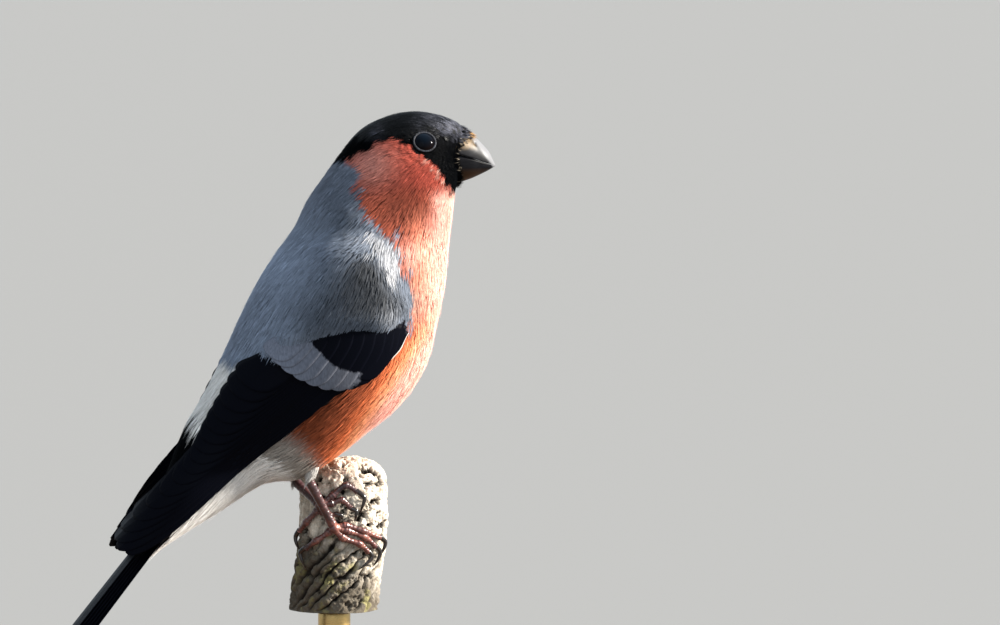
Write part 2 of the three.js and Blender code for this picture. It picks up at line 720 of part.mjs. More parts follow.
function makeLegs() {
  for (const [side, leg] of Object.entries(LEGS)) {
    const torso = bodyLength(NAPE, RUMP, 40, 24, GAP);
    const tail = tailCore(GAP);
    const thigh = limb(leg.thigh, THIGH_RADII, 16, 10);
    add(`thigh_${side}`, thigh.subtract(torso).subtract(tail), COLOURS.white);

    const palm = onPerch(leg.palm[0], leg.palm[1], TOE_RADIUS + GAP + 0.5);
    const ankle = new THREE.Vector3(...leg.ankle);
    const down = palm.clone().sub(ankle).normalize();
    const top = ankle.clone().addScaledVector(down, GAP * 2);
    const foot = palm.clone().addScaledVector(down, -PALM_REACH - GAP);
    const shank = limb(
      [top.toArray(), top.clone().lerp(foot, 0.5).toArray(), foot.toArray()],
      SHANK_RADII,
      12,
      10,
    );
    add(`tarsus_${side}`, shank.subtract(thigh.add(thigh.translate([0, 0, -GAP]))), COLOURS.leg,
      { roughness: 0.6, metalness: 0 });

    const stub = perchSolid(GAP);
    let whole = limb([
      palm.clone().addScaledVector(down, -PALM_REACH).toArray(),
      palm.toArray(),
      palm.clone().addScaledVector(down, PALM_REACH).toArray(),
    ], PALM_RADII, 10, 6);
    for (const toe of leg.toes) {
      const lift = TOE_RADIUS + GAP;
      const path = toe.ends.map(([degrees, height]) => onPerch(degrees, height, lift).toArray());
      const radii = [TOE_RADIUS, TOE_RADIUS, TOE_RADIUS * 0.95, TOE_RADIUS * 0.75];
      whole = whole.add(limb([palm.toArray(), ...path], radii, 8, 9));
      const [root, tip] = toe.claw;
      const last = toe.ends[toe.ends.length - 1];
      const clawPath = [
        onPerch((last[0] + root[0]) / 2, (last[1] + root[1]) / 2, lift),
        onPerch(root[0], root[1], lift + 0.3),
        onPerch((root[0] * 2 + tip[0]) / 3, (root[1] + tip[1]) / 2, lift + 0.1),
        onPerch(tip[0], tip[1], GAP + 0.25),
      ].map((p) => p.toArray());
      toe.solid = limb(clawPath, [CLAW_RADIUS, CLAW_RADIUS * 0.9, CLAW_RADIUS * 0.6, 0.15], 6, 7);
    }
    const shankClear = shank.add(shank.translate(down.clone().multiplyScalar(GAP).toArray()));
    const footSolid = largestBody(whole.subtract(stub).subtract(shankClear));
    add(`foot_${side}`, footSolid, COLOURS.leg, { roughness: 0.6, metalness: 0 });
    for (const toe of leg.toes) {
      const free = toe.solid.subtract(stub).subtract(grown(footSolid));
      add(`claw_${side}_${toe.name}`, free, COLOURS.claw, { roughness: 0.35, metalness: 0 });
    }
  }
}

// A body swept a little along each direction, to cut a neighbour clear of it
function grown(body) {
  const steps = [[GAP, 0, 0], [-GAP, 0, 0], [0, GAP, 0], [0, -GAP, 0], [0, 0, GAP], [0, 0, -GAP]];
  return joined([body, ...steps.map((step) => body.translate(step))]);
}

// Stand: an oval plinth and one short rod under the stub
function makeStand() {
  const outline = new THREE.Shape();
  outline.absellipse(
    0, 0, BASE_LENGTH / 2 - BASE_CHAMFER, BASE_WIDTH / 2 - BASE_CHAMFER, 0, Math.PI * 2,
  );
  const plinth = new THREE.ExtrudeGeometry(outline, {
    depth: BASE_THICKNESS - 2 * BASE_CHAMFER,
    curveSegments: 26,
    bevelThickness: BASE_CHAMFER,
    bevelSize: BASE_CHAMFER,
    bevelSegments: 1,
  });
  add('stand_base', shaped(plinth, (p) => p.clone().setZ(p.z + BASE_CHAMFER)), COLOURS.plinth,
    { roughness: 0.45, metalness: 0 });

  const low = BASE_THICKNESS + GAP;
  const high = PERCH_FOOT[2] - GAP;
  const rod = barrel(24, 1, (f, angle, reach) => new THREE.Vector3(
    PERCH_FOOT[0] + Math.cos(angle) * ROD_RADIUS * reach,
    PERCH_FOOT[1] + Math.sin(angle) * ROD_RADIUS * reach,
    low + (high - low) * f,
  ));
  add('stand_rod', rod, COLOURS.rod, { roughness: 0.35, metalness: 1 });
}

makeHead();
makeBill();
add('neck', bodyLength(NAPE, SHOULDER, 32, 4, 0, GAP), COLOURS.red);
add('torso', bodyLength(SHOULDER, RUMP, 32, 14, 0, GAP), COLOURS.red);
makeWing();
makeTail();
makeLegs();
add('perch', perchSolid(), COLOURS.stub, { roughness: 0.9, metalness: 0 });
makeStand();

export default group;
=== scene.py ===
# Looks of a life-size male bullfinch gripping a weathered stub on a display stand.
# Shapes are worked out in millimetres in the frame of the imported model, and meshes in metres.

import math

import bpy
import numpy as np
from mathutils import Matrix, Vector, noise
from mathutils.kdtree import KDTree


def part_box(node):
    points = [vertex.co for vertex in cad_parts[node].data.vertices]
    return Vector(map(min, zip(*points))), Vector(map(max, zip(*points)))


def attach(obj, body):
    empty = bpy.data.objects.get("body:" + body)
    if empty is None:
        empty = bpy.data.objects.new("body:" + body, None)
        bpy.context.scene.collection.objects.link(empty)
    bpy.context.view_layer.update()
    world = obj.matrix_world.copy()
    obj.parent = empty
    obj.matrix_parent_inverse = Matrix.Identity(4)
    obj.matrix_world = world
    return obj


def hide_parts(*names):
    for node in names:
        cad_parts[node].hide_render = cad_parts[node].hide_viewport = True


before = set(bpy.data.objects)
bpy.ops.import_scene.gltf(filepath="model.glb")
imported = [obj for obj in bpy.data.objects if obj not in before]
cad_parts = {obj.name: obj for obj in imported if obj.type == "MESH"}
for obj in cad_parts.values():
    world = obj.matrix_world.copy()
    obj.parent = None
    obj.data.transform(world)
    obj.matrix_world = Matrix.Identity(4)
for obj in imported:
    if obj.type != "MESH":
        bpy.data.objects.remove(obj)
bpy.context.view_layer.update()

MM = 0.001
RANDOM = np.random.default_rng(7)

# Camera: the photograph's viewing angle, with a long lens
CAMERA_AZIMUTH = math.radians(-12)
CAMERA_ELEVATION = math.radians(3)
CAMERA_TARGET = Vector((45.9, 0, 83.0)) * MM
CAMERA_DISTANCE = 1.70
CAMERA_LENS = 300

# Body: each section lies in a plane from a point of the back to a point of the front.
# Columns: back x, back z, front x, front z, half width, shift of the widest place to the back.
BODY = [
    (38.9, 120.1, 36.8, 109.9, 4.7, 0),
    (36.9, 121.7, 36.2, 108.6, 6.7, -0.03),
    (34.5, 122.9, 35.9, 107.2, 8.7, -0.05),
    (31.1, 123.8, 35.7, 105.3, 10.4, -0.06),
    (27.0, 124.1, 35.5, 103.2, 11.7, -0.06),
    (22.0, 123.0, 35.2, 100.8, 12.7, -0.04),
    (16.9, 120.3, 34.9, 98.3, 13.4, -0.02),
    (12.6, 115.1, 34.6, 95.4, 14.2, 0.02),
    (9.5, 110.6, 34.3, 92.4, 15.2, 0.04),
    (6.4, 106.0, 33.9, 89.0, 16.7, 0.06),
    (3.9, 100.6, 32.9, 84.6, 18.1, 0.06),
    (0.4, 95.9, 31.6, 79.0, 19.2, 0.05),
    (-3.1, 90.6, 30.3, 73.8, 19.6, 0.03),
    (-6.0, 85.4, 27.5, 68.5, 19.2, 0),
    (-8.6, 80.0, 23.2, 63.4, 18.2, -0.02),
    (-11.0, 75.0, 17.4, 58.9, 16.4, -0.04),
    (-13.4, 70.0, 11.5, 54.2, 14.0, -0.04),
    (-16.2, 65.2, 4.3, 49.8, 11.4, -0.02),
    (-19.2, 60.2, -3.6, 48.8, 9.2, 0),
]
FLATNESS = 0.86
SHOULDER = 9.6
HEAD_TURN = math.radians(-8)
HEAD_PIVOT_X = 18
TAIL_ROOT = np.array([-9.2, 61.0])
TAIL_SLOPE = math.radians(51)
TAIL_LENGTH = 62
TAIL_ALONG = np.array([-math.cos(TAIL_SLOPE), -math.sin(TAIL_SLOPE)])
TAIL_UP = np.array([-math.sin(TAIL_SLOPE), math.cos(TAIL_SLOPE)])


def on_tail(along, up):
    return TAIL_ROOT + TAIL_ALONG * along + TAIL_UP * up


def tail_section(along, top, bottom, half):
    return (*on_tail(along, top), *on_tail(along, bottom), half, 0)


# The coverts run out over the roots of the tail, and the deck carries the folded wings there.
COAT_SECTIONS = np.array(BODY + [
    tail_section(16, 4.4, -8.4, 8.2),
    tail_section(27, 1.8, -4.4, 6.4),
    tail_section(38, 0.3, -1.6, 3.6),
])
DECK_SECTIONS = np.array(BODY + [
    tail_section(17, 6.4, -9.5, 9.0),
    tail_section(27, 4.6, -6.5, 7.4),
    tail_section(38, 3.4, -4.0, 5.6),
    tail_section(48, 3.2, -3.0, 4.6),
])
WING_LOWER = [
    (22.8, 89.0), (24.2, 84.0), (20.6, 76.6), (14.6, 70.6), (7.6, 66.2),
    (0.2, 61.4), (-9.0, 54.4), (-20.0, 45.6), (-30.0, 38.4),
]
WING_UPPER = [
    (22.8, 89.0), (19.5, 95.5), (12.5, 100.4), (4.8, 98.2), (0.0, 90.6),
    (-4.4, 81.6), (-9.4, 71.0), (-18.4, 55.4), (-30.0, 38.4),
]

# Markings in the side view, as the camera sees the right side: u across and z up
CAP = [
    (40, 135), (5, 135), (5, 113.2), (11.4, 113.8), (14.3, 114.3), (15.5, 115.7), (18.0, 116.7),
    (20.0, 118.2), (22.0, 118.5), (24.0, 118.5), (25.9, 117.8), (27.1, 116.5), (29.0, 115.3),
    (30.4, 114.3), (31.8, 113.1), (33.1, 111.3), (33.7, 109.6), (34.7, 107.9), (36.6, 107.4),
    (42, 108), (42, 135),
]
GREY = [
    (5, 114.4), (11.4, 114.4), (14.3, 114.2), (14.8, 112.6), (16.3, 110.6), (16.3, 106.6),
    (16.5, 104.7), (17.6, 103.1), (19.3, 101.6), (21.0, 100.4), (24.0, 99.0), (24.9, 95.3),
    (26.5, 92.9), (26.7, 89.2), (27.4, 86.5), (26.7, 84.3), (26.9, 79.6), (25.2, 78.4),
    (23.0, 77.0), (18.0, 77.5), (12.0, 77.0), (6.9, 75.0), (1.0, 73.0), (-5.0, 71.5),
    (-8.6, 70.0), (-40, 62), (-40, 114),
]
FLIGHT_ZONE = [
    (26.7, 80.6), (24.9, 80.8), (23.5, 80.5), (20.6, 80.8), (18.0, 81.5), (14.3, 81.5),
    (12.2, 80.8), (9.4, 80.2), (6.9, 79.1), (4.9, 78.4), (1.0, 77.1), (-3.3, 75.7), (-8.2, 74.2),
    (-12.0, 68.0), (-36, 30), (-30, 28), (-3.0, 55.6), (2.0, 58.6), (7.3, 62.1), (12.2, 65.6),
    (16.9, 69.1), (21.4, 73.3), (25.0, 76.6),
]
BAR = [
    (-5.0, 79.5), (0.5, 81.0), (4.9, 80.2), (7.2, 78.4), (9.4, 75.9), (11.6, 73.9), (14.1, 72.8),
    (17.2, 72.2), (16.8, 70.4), (14.6, 68.8), (12.2, 67.2), (9.0, 66.4), (4.0, 67.4),
    (0.5, 69.2), (-2.4, 71.4), (-4.4, 74.4),
]
WHITE_EDGE = [
    (-5.0, 57.6), (0.4, 58.4), (3.4, 57.0), (6.4, 53.6), (8.6, 50.4), (6.0, 40),
    (-70, 0), (-70, 40), (-12, 57),
]


def spline_rows(rows, at):
    """Catmull-Rom values between the rows of a table, at any places along it"""
    rows = np.asarray(rows, float)
    last = len(rows) - 1
    at = np.clip(np.asarray(at, float), 0, last)
    i = np.minimum(at.astype(int), last - 1)
    t = (at - i)[..., None]
    before = rows[np.maximum(i - 1, 0)]
    start = rows[i]
    end = rows[i + 1]
    after = rows[np.minimum(i + 2, last)]
    slope_start = (end - before) / 2
    slope_end = (after - start) / 2
    return (
        (2 * t**3 - 3 * t**2 + 1) * start + (t**3 - 2 * t**2 + t) * slope_start
        + (3 * t**2 - 2 * t**3) * end + (t**3 - t**2) * slope_end
    )


def smoothstep(value, low, high):
    t = np.clip((value - low) / (high - low), 0, 1)
    return t * t * (3 - 2 * t)


def mix(a, b, share):
    return a + (b - a) * share


def unit(vectors):
    return vectors / np.maximum(np.linalg.norm(vectors, axis=-1, keepdims=True), 1e-9)


def section_points(sections, at, angle):
    """Points of the body: angle 0 at the back, pi at the front, the right side below zero"""
    cut = spline_rows(sections, at)
    high = np.cos(angle)
    sine = np.sin(angle)
    x = (cut[..., 0] + cut[..., 2]) / 2 + (cut[..., 0] - cut[..., 2]) / 2 * high
    z = (cut[..., 1] + cut[..., 3]) / 2 + (cut[..., 1] - cut[..., 3]) / 2 * high
    wide = np.sign(sine) * np.abs(sine) ** FLATNESS
    return np.stack([x, wide * cut[..., 4] * (1 + cut[..., 5] * high), z], -1)


def turned(points, at):
    """The head looks a little to the bird's right: the turn grows through the neck"""
    swing = HEAD_TURN * (1 - smoothstep(at, 5, SHOULDER + 0.6))
    dx = points[..., 0] - HEAD_PIVOT_X
    y = points[..., 1]
    return np.stack([
        HEAD_PIVOT_X + dx * np.cos(swing) - y * np.sin(swing),
        dx * np.sin(swing) + y * np.cos(swing),
        points[..., 2],
    ], -1)


def inside(outline, u, z):
    """Distance in mm inside an outline of the side view, below zero outside it"""
    corners = np.asarray(outline, float)
    u = np.asarray(u, float)
    z = np.asarray(z, float)
    nearest = np.full(u.shape, 1e9)
    crossings = np.zeros(u.shape, int)
    for (ax, az), (bx, bz) in zip(corners, np.roll(corners, -1, axis=0)):
        dx = bx - ax
        dz = bz - az
        if math.hypot(dx, dz) < 1e-6:
            continue
        share = np.clip(((u - ax) * dx + (z - az) * dz) / (dx * dx + dz * dz), 0, 1)
        nearest = np.minimum(nearest, np.hypot(u - ax - share * dx, z - az - share * dz))
        if dz != 0:
            level = (z - az) / dz
            crossings += (level >= 0) & (level < 1) & (u < ax + level * dx)
    return np.where(crossings % 2 == 1, nearest, -nearest)


# Surface that the coat grows on

WING_OUTLINE = [tuple(p) for p in np.vstack([
    spline_rows(WING_LOWER, np.linspace(0, len(WING_LOWER) - 1, 40)),
    spline_rows(WING_UPPER, np.linspace(len(WING_UPPER) - 1, 0, 40)),
])]
WING_SHOULDER = 3.3
WING_BLADE = 1.0
WING_RISE = 6.5
COAT_ROWS = 640
COAT_COLUMNS = 512


def wing_swell(points):
    """How far the folded wing lifts the coat off the body"""
    x, y, z = np.moveaxis(points, -1, 0)
    depth = inside(WING_OUTLINE, x, z)
    profile = smoothstep(depth, -1.0, WING_RISE) ** 0.9
    u, z = side_view(np.stack([x, -np.abs(y), z], -1))
    above = smoothstep(inside(FLIGHT_ZONE, u, z), 2.2, -1.6)
    return profile * mix(WING_BLADE, WING_SHOULDER, above)


GAPE = (37.0, 114.9)
GAPE_WIDTH = 1.25
GAPE_DEPTH = 0.95


def gape_hollow(points):
    """How deep the coat falls back at the sides of the bill's base"""
    x, _, z = np.moveaxis(points, -1, 0)
    across = (x - GAPE[0]) ** 2 / (2 * GAPE_WIDTH**2)
    upward = (z - GAPE[1]) ** 2 / (4 * GAPE_WIDTH**2)
    return GAPE_DEPTH * np.exp(-across - upward)


class Surface:
    """Round surface sampled on a fine grid, read at any place along it and angle round it"""

    def __init__(self, points, places, angles):
        self.points = points
        self.places = places
        self.count = len(angles) - 1
        self.d_along = np.gradient(points, axis=0)
        wrapped = np.concatenate([points[:, -2:-1], points, points[:, 1:2]], axis=1)
        self.d_round = (wrapped[:, 2:] - wrapped[:, :-2]) / 2
        normal = unit(np.cross(self.d_along, self.d_round))
        middle = points[:, :-1].mean(axis=1, keepdims=True)
        if (normal * (points - middle)).sum() < 0:
            normal = -normal
        self.normals = normal

    def corners(self, row, column):
        row = np.clip(row, 0, len(self.places) - 1.001)
        column = np.mod(column, self.count)
        i = row.astype(int)
        j = column.astype(int)
        return i, j, (row - i)[..., None], (column - j)[..., None]

    def read(self, field, row, column):
        i, j, s, t = self.corners(row, column)
        low = field[i, j] * (1 - t) + field[i, j + 1] * t
        high = field[i + 1, j] * (1 - t) + field[i + 1, j + 1] * t
        return low * (1 - s) + high * s

    def place(self, row, column):
        """Points, carried straight on where a row lies past either end"""
        past = row - np.clip(row, 0, len(self.places) - 1.001)
        return self.read(self.points, row, column) + past[..., None] * self.read(
            self.d_along, row, column)

    def steps(self, row, column, vectors):
        """How far a grid place moves for each mm along the vectors"""
        along = self.read(self.d_along, row, column)
        across = self.read(self.d_round, row, column)
        e = (along * along).sum(-1)
        f = (along * across).sum(-1)
        g = (across * across).sum(-1)
        va = (vectors * along).sum(-1)
        vt = (vectors * across).sum(-1)
        scale = np.maximum(e * g - f * f, 1e-9)
        return (g * va - f * vt) / scale, (e * vt - f * va) / scale


def body_surface():
    places = np.linspace(0, len(COAT_SECTIONS) - 1, COAT_ROWS)
    angles = np.linspace(-math.pi, math.pi, COAT_COLUMNS + 1)
    at, angle = np.meshgrid(places, angles, indexing="ij")
    plain = section_points(COAT_SECTIONS, at, angle)
    normals = Surface(plain, places, angles).normals
    swell = wing_swell(plain) - gape_hollow(plain)
    return Surface(turned(plain + normals * swell[..., None], at), places, angles)


def side_view(points):
    """Side view of the points of a right side as the camera sees it: u across and z up"""
    u = points[..., 0] * math.cos(CAMERA_AZIMUTH) + points[..., 1] * math.sin(CAMERA_AZIMUTH)
    return u, points[..., 2]


body = body_surface()


def section_at(row):
    """Place along the table of sections for rows of the body's surface"""
    return np.interp(row, np.arange(len(body.places)), body.places)


def angle_at(column):
    """Angle round the body for columns of its surface, from -pi to pi"""
    return np.mod(column, body.count) / body.count * 2 * math.pi - math.pi


def marking_place(row, column):
    """Side-view place on the right side that carries the same marking as this one"""
    half = body.count / 2
    centred = np.mod(column, body.count) - half
    return side_view(body.read(body.points, row, half - np.abs(centred)))


# Meshes and materials

def finish_piece(piece, material, replaced=()):
    piece.data.materials.clear()
    piece.data.materials.append(material)
    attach(piece, "root")
    if replaced:
        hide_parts(*replaced)
    return piece


def read_points(piece, quality="co"):
    """Places in metres, or normals, of the vertices of a piece"""
    values = np.zeros(len(piece.data.vertices) * 3)
    piece.data.vertices.foreach_get(quality, values)
    return values.reshape(-1, 3)


def move_points(piece, points):
    """Moves the vertices of a piece to points in mm"""
    piece.data.vertices.foreach_set("co", (points * MM).ravel())
    piece.data.update()


def paint(data, name, colours):
    """Gives the vertices of a mesh a named colour; channels that are left out are one"""
    rgba = np.ones((len(data.vertices), 4), np.float32)
    rgba[:, :colours.shape[1]] = colours
    data.attributes.new(name, "FLOAT_COLOR", "POINT").data.foreach_set("color", rgba.ravel())


def face_outwards():
    """Turns the faces of the active piece outwards"""
    bpy.ops.object.mode_set(mode="EDIT")
    bpy.ops.mesh.select_all(action="SELECT")
    bpy.ops.mesh.normals_make_consistent(inside=False)
    bpy.ops.object.mode_set(mode="OBJECT")


SHARP_EDGE = math.radians(50)
SMOOTH_EDGE = math.radians(35)


def round_edges(piece, name, width, segments):
    """Rounds the sharp edges of the active piece"""
    bevel = piece.modifiers.new(name, "BEVEL")
    bevel.width = width
    bevel.segments = segments
    bevel.limit_method = "ANGLE"
    bevel.angle_limit = SHARP_EDGE
    bpy.ops.object.modifier_apply(modifier=bevel.name)
    bpy.ops.object.shade_smooth_by_angle(angle=SMOOTH_EDGE)


def mesh_of_triangles(name, points, triangles, colours=None, patches=None):
    """Piece made from arrays: points in mm, triangles, a colour and a patch place for each point"""
    data = bpy.data.meshes.new(name)
    data.vertices.add(len(points))
    data.vertices.foreach_set("co", (points * MM).astype(np.float32).ravel())
    data.loops.add(triangles.size)
    data.loops.foreach_set("vertex_index", triangles.astype(np.int32).ravel())
    data.polygons.add(len(triangles))
    data.polygons.foreach_set("loop_start", np.arange(0, triangles.size, 3, dtype=np.int32))
    data.polygons.foreach_set("use_smooth", np.ones(len(triangles), bool))
    if colours is not None:
        paint(data, "plumage", colours)
    if patches is not None:
        layer = data.uv_layers.new(name="OFBake")
        layer.data.foreach_set("uv", patches[triangles.ravel()].astype(np.float32).ravel())
    data.update(calc_edges=True)
    if patches is not None:
        ends = np.zeros(2 * len(data.edges), np.int32)
        data.edges.foreach_get("vertices", ends)
        ends = np.sort(ends.reshape(-1, 2) % BARB_POINTS, axis=1)
        sharp = np.isin(10 * ends[:, 0] + ends[:, 1], BARB_RIMS)
        data.attributes.new("sharp_edge", "BOOLEAN", "EDGE").data.foreach_set("value", sharp)
    piece = bpy.data.objects.new(name, data)
    bpy.context.scene.collection.objects.link(piece)
    return piece


def nothing_selected():
    if bpy.context.object and bpy.context.object.mode != "OBJECT":
        bpy.ops.object.mode_set(mode="OBJECT")
    bpy.ops.object.select_all(action="DESELECT")


def shaped_ball(name, around, along, place):
    """Ball whose points a function places: place(along 0..1, angle) gives mm"""
    nothing_selected()
    bpy.ops.mesh.primitive_uv_sphere_add(segments=around, ring_count=along, radius=1)
    piece = bpy.context.object
    piece.name = name
    x, y, z = read_points(piece).T
    share = np.arccos(np.clip(z, -1, 1)) / math.pi
    move_points(piece, place(share, np.arctan2(y, x)))
    face_outwards()
    bpy.ops.object.shade_smooth()
    return piece


# How much sooner than its margin a wrapped ball is closed, as a share of its length
CLOSING = 0.001


def lining(surface, margin, depth):
    """Place function that wraps a ball round a surface, sunk below it and closed at both ends"""
    def place(share, angle):
        rows = np.clip((share - margin) / (1 - 2 * margin), 0, 1) * (len(surface.places) - 1)
        columns = np.mod(angle / (2 * math.pi) + 0.5, 1) * surface.count
        sunk = surface.place(rows, columns) - surface.read(surface.normals, rows, columns) * depth
        middle = surface.points[np.round(rows).astype(int), :-1].mean(axis=1)
        closed = smoothstep(np.minimum(share, 1 - share), 0, margin - CLOSING)
        return mix(middle, sunk, closed[:, None])

    return place


def joined(name, pieces):
    nothing_selected()
    for piece in pieces:
        piece.select_set(True)
    bpy.context.view_layer.objects.active = pieces[0]
    if len(pieces) > 1:
        bpy.ops.object.join()
    whole = bpy.context.object
    whole.name = name
    return whole


def material(name, colour, roughness, **sockets):
    made = bpy.data.materials.new(name)
    made.use_nodes = True
    shader = made.node_tree.nodes["Principled BSDF"]
    shader.inputs["Base Color"].default_value = (*colour, 1)
    shader.inputs["Roughness"].default_value = roughness
    for socket, value in sockets.items():
        shader.inputs[socket.replace("_", " ")].default_value = value
    return made


class Nodes:
    """Short way to add and link the nodes of a material"""

    def __init__(self, made):
        self.tree = made.node_tree
        self.shader = self.tree.nodes["Principled BSDF"]
        self.place = self.tree.nodes.new("ShaderNodeTexCoord").outputs["Object"]

    def link(self, source, target):
        self.tree.links.new(source, target)

    def feed(self, value, socket):
        """Gives a socket another node's output, a colour or a number"""
        if isinstance(value, bpy.types.NodeSocket):
            self.link(value, socket)
        elif isinstance(value, tuple):
            socket.default_value = (*value, 1)
        else:
            socket.default_value = value

    def noise(self, scale, detail=4, roughness=0.6, stretch=None, centre=(0, 0, 0)):
        node = self.tree.nodes.new("ShaderNodeTexNoise")
        node.inputs["Scale"].default_value = scale
        node.inputs["Detail"].default_value = detail
        node.inputs["Roughness"].default_value = roughness
        place = self.stretched(stretch, centre) if stretch else self.place
        self.link(place, node.inputs["Vector"])
        return node.outputs["Fac"]

    def stretched(self, stretch, centre=(0, 0, 0)):
        """Place on the object, measured from a centre and stretched along each axis"""
        node = self.tree.nodes.new("ShaderNodeMapping")
        node.inputs["Scale"].default_value = stretch
        node.inputs["Location"].default_value = [-c * s for c, s in zip(centre, stretch)]
        self.link(self.place, node.inputs["Vector"])
        return node.outputs["Vector"]

    def cells(self, scale, feature="F1", stretch=None):
        node = self.tree.nodes.new("ShaderNodeTexVoronoi")
        node.feature = feature
        node.inputs["Scale"].default_value = scale
        self.link(self.stretched(stretch) if stretch else self.place, node.inputs["Vector"])
        return node.outputs["Distance"]

    def ramp(self, value, stops):
        node = self.tree.nodes.new("ShaderNodeValToRGB")
        while len(node.color_ramp.elements) < len(stops):
            node.color_ramp.elements.new(1)
        for element, (position, colour) in zip(node.color_ramp.elements, stops):
            element.position = position
            element.color = (*colour, 1)
        self.link(value, node.inputs["Fac"])
        return node.outputs["Color"]

    def grey_ramp(self, value, low, high, from_value=0.0, to_value=1.0):
        return self.ramp(value, [(low, (from_value,) * 3), (high, (to_value,) * 3)])

    def blend(self, factor, first, second, kind="MIX"):
        node = self.tree.nodes.new("ShaderNodeMix")
        node.data_type = "RGBA"
        node.blend_type = kind
        self.feed(factor, node.inputs[0])
        self.feed(first, node.inputs[6])
        self.feed(second, node.inputs[7])
        return node.outputs[2]

    def attribute(self, name, output="Color"):
        node = self.tree.nodes.new("ShaderNodeAttribute")
        node.attribute_name = name
        return node.outputs[output]

    def math(self, operation, first, second=0.0):
        node = self.tree.nodes.new("ShaderNodeMath")
        node.operation = operation
        self.feed(first, node.inputs[0])
        self.feed(second, node.inputs[1])
        return node.outputs[0]

    def past(self, value, start, scale):
        """How far a value is past a start, times a scale"""
        return self.math("MULTIPLY", self.math("SUBTRACT", value, start), scale)

    def axes(self, vector=None):
        """Outputs X, Y and Z of a vector, or else of the place on the object"""
        node = self.tree.nodes.new("ShaderNodeSeparateXYZ")
        self.link(self.place if vector is None else vector, node.inputs["Vector"])
        return node.outputs

    def bump(self, height, distance, strength=0.5):
        node = self.tree.nodes.new("ShaderNodeBump")
        node.inputs["Strength"].default_value = strength
        node.inputs["Distance"].default_value = distance
        self.link(height, node.inputs["Height"])
        self.link(node.outputs["Normal"], self.shader.inputs["Normal"])

    def colour(self, source):
        self.link(source, self.shader.inputs["Base Color"])

    def roughness(self, source):
        self.link(source, self.shader.inputs["Roughness"])


def plumage(name, roughness, **sockets):
    made = material(name, (0.5, 0.5, 0.5), roughness, **sockets)
    nodes = Nodes(made)
    speck = nodes.grey_ramp(nodes.noise(2600, 3), 0.3, 0.75, 0.82, 1.12)
    nodes.colour(nodes.blend(1.0, nodes.attribute("plumage"), speck, "MULTIPLY"))
    return made


RED_PLUMAGE = plumage("red_feather", 0.8, Specular_IOR_Level=0.15)
GREY_PLUMAGE = plumage("grey_feather", 0.7, Specular_IOR_Level=0.25)
BLACK_PLUMAGE = plumage("black_feather", 0.6, Specular_IOR_Level=0.01)
WHITE_PLUMAGE = plumage("white_feather", 0.8, Specular_IOR_Level=0.2)
CROWN_PLUMAGE = plumage("crown_feather", 0.4, Specular_IOR_Level=0.1)


# Colours of the plumage, as light returned in red, green and blue
BLACK = np.array([0.0006, 0.0008, 0.0012])
CHEEK = np.array([0.30, 0.047, 0.029])
THROAT = np.array([0.29, 0.064, 0.033])
BREAST = np.array([0.74, 0.25, 0.15])
# Pale cream that is painted sunlight on the front of the breast, chin and flank
SUNLIT_CREAM = np.array([0.80, 0.38, 0.31])
# Flank tones, deeper red towards the back and pale cream at the front: the red is partly their own
# colour and partly painted shade, and the cream is painted sunlight
FLANK_REACH = (7.0, 12.0, 14.2, 16.2, 18.8)
FLANK = np.array([
    (0.19, 0.044, 0.016), (0.33, 0.075, 0.028), (0.60, 0.14, 0.048), (0.74, 0.28, 0.13),
    (0.80, 0.38, 0.31),
])
SLATE = np.array([0.192, 0.232, 0.305])
NAPE = np.array([0.135, 0.16, 0.21])
# Pale grey that is painted sunlight on the shoulder
SUNLIT_GREY = np.array([0.385, 0.385, 0.40])
WHITE = np.array([0.74, 0.72, 0.69])
VENT = np.array([0.30, 0.27, 0.24])
BLACK_COAT, RED_COAT, GREY_COAT, WHITE_COAT, CROWN_COAT = range(5)
COATS = ["black", "red", "grey", "white", "crown"]
PLUMAGES = [BLACK_PLUMAGE, RED_PLUMAGE, GREY_PLUMAGE, WHITE_PLUMAGE, CROWN_PLUMAGE]
CROWN_LINE = 118.6
ROSE = np.array([0.68, 0.30, 0.24])
BRISTLE = np.array([0.40, 0.22, 0.075])
FAIR_BRISTLE = np.array([0.50, 0.42, 0.32])
# Outline of a patch of painted sunlight on the grey at the bend of the wing
SUNLIT_PATCH = [
    (15.9, 98.6), (18.5, 99.9), (21.6, 99.2), (24.8, 96.6), (25.6, 91.5), (23.6, 88.6),
    (21.8, 89.8), (20.9, 93.2), (18.3, 96.8),
]
# Dark red that is painted shade low on the cheek
SHADED_RED = np.array([0.15, 0.031, 0.016])
# Grey blue painted highlight of the sun on the black forehead, crown and bristles
SHEEN = np.array([0.095, 0.098, 0.122])
DUSTY_ROSE = np.array([0.34, 0.21, 0.17])
PALE_FRINGE = np.array([0.42, 0.24, 0.19])

# Soft spots of the side view, each with its share, its place and its radius in mm
# Spots of painted highlight on the black of the forehead and crown
SHEEN_SPOTS = [
    (1.0, 34.2, 122.0, 1.4), (0.9, 36.3, 120.7, 1.1), (0.3, 30.0, 122.8, 1.6),
    (0.4, 19.5, 120.2, 0.9),
]
# Spots of painted shade on the grey of the shoulder, the mantle and the nape
BROAD_SHADE_SPOTS = [(1.15, 17.5, 88, 7.0), (0.5, 7.5, 82, 3.6), (0.6, 14, 103, 4.0)]
SHADE_SPOTS = [(0.08, 18.4, 85.5, 3.0), (0.2, 18.0, 93.0, 2.4), (0.3, 25.6, 84.5, 2.8)]
# Spots on the cheek: a rose grey tone high at its back, and dark red painted shade low on it
CHEEK_SPOTS = [(ROSE, 0.75, 18.5, 113.5, 3.1), (SHADED_RED, 0.92, 23.8, 104.8, 4.0)]
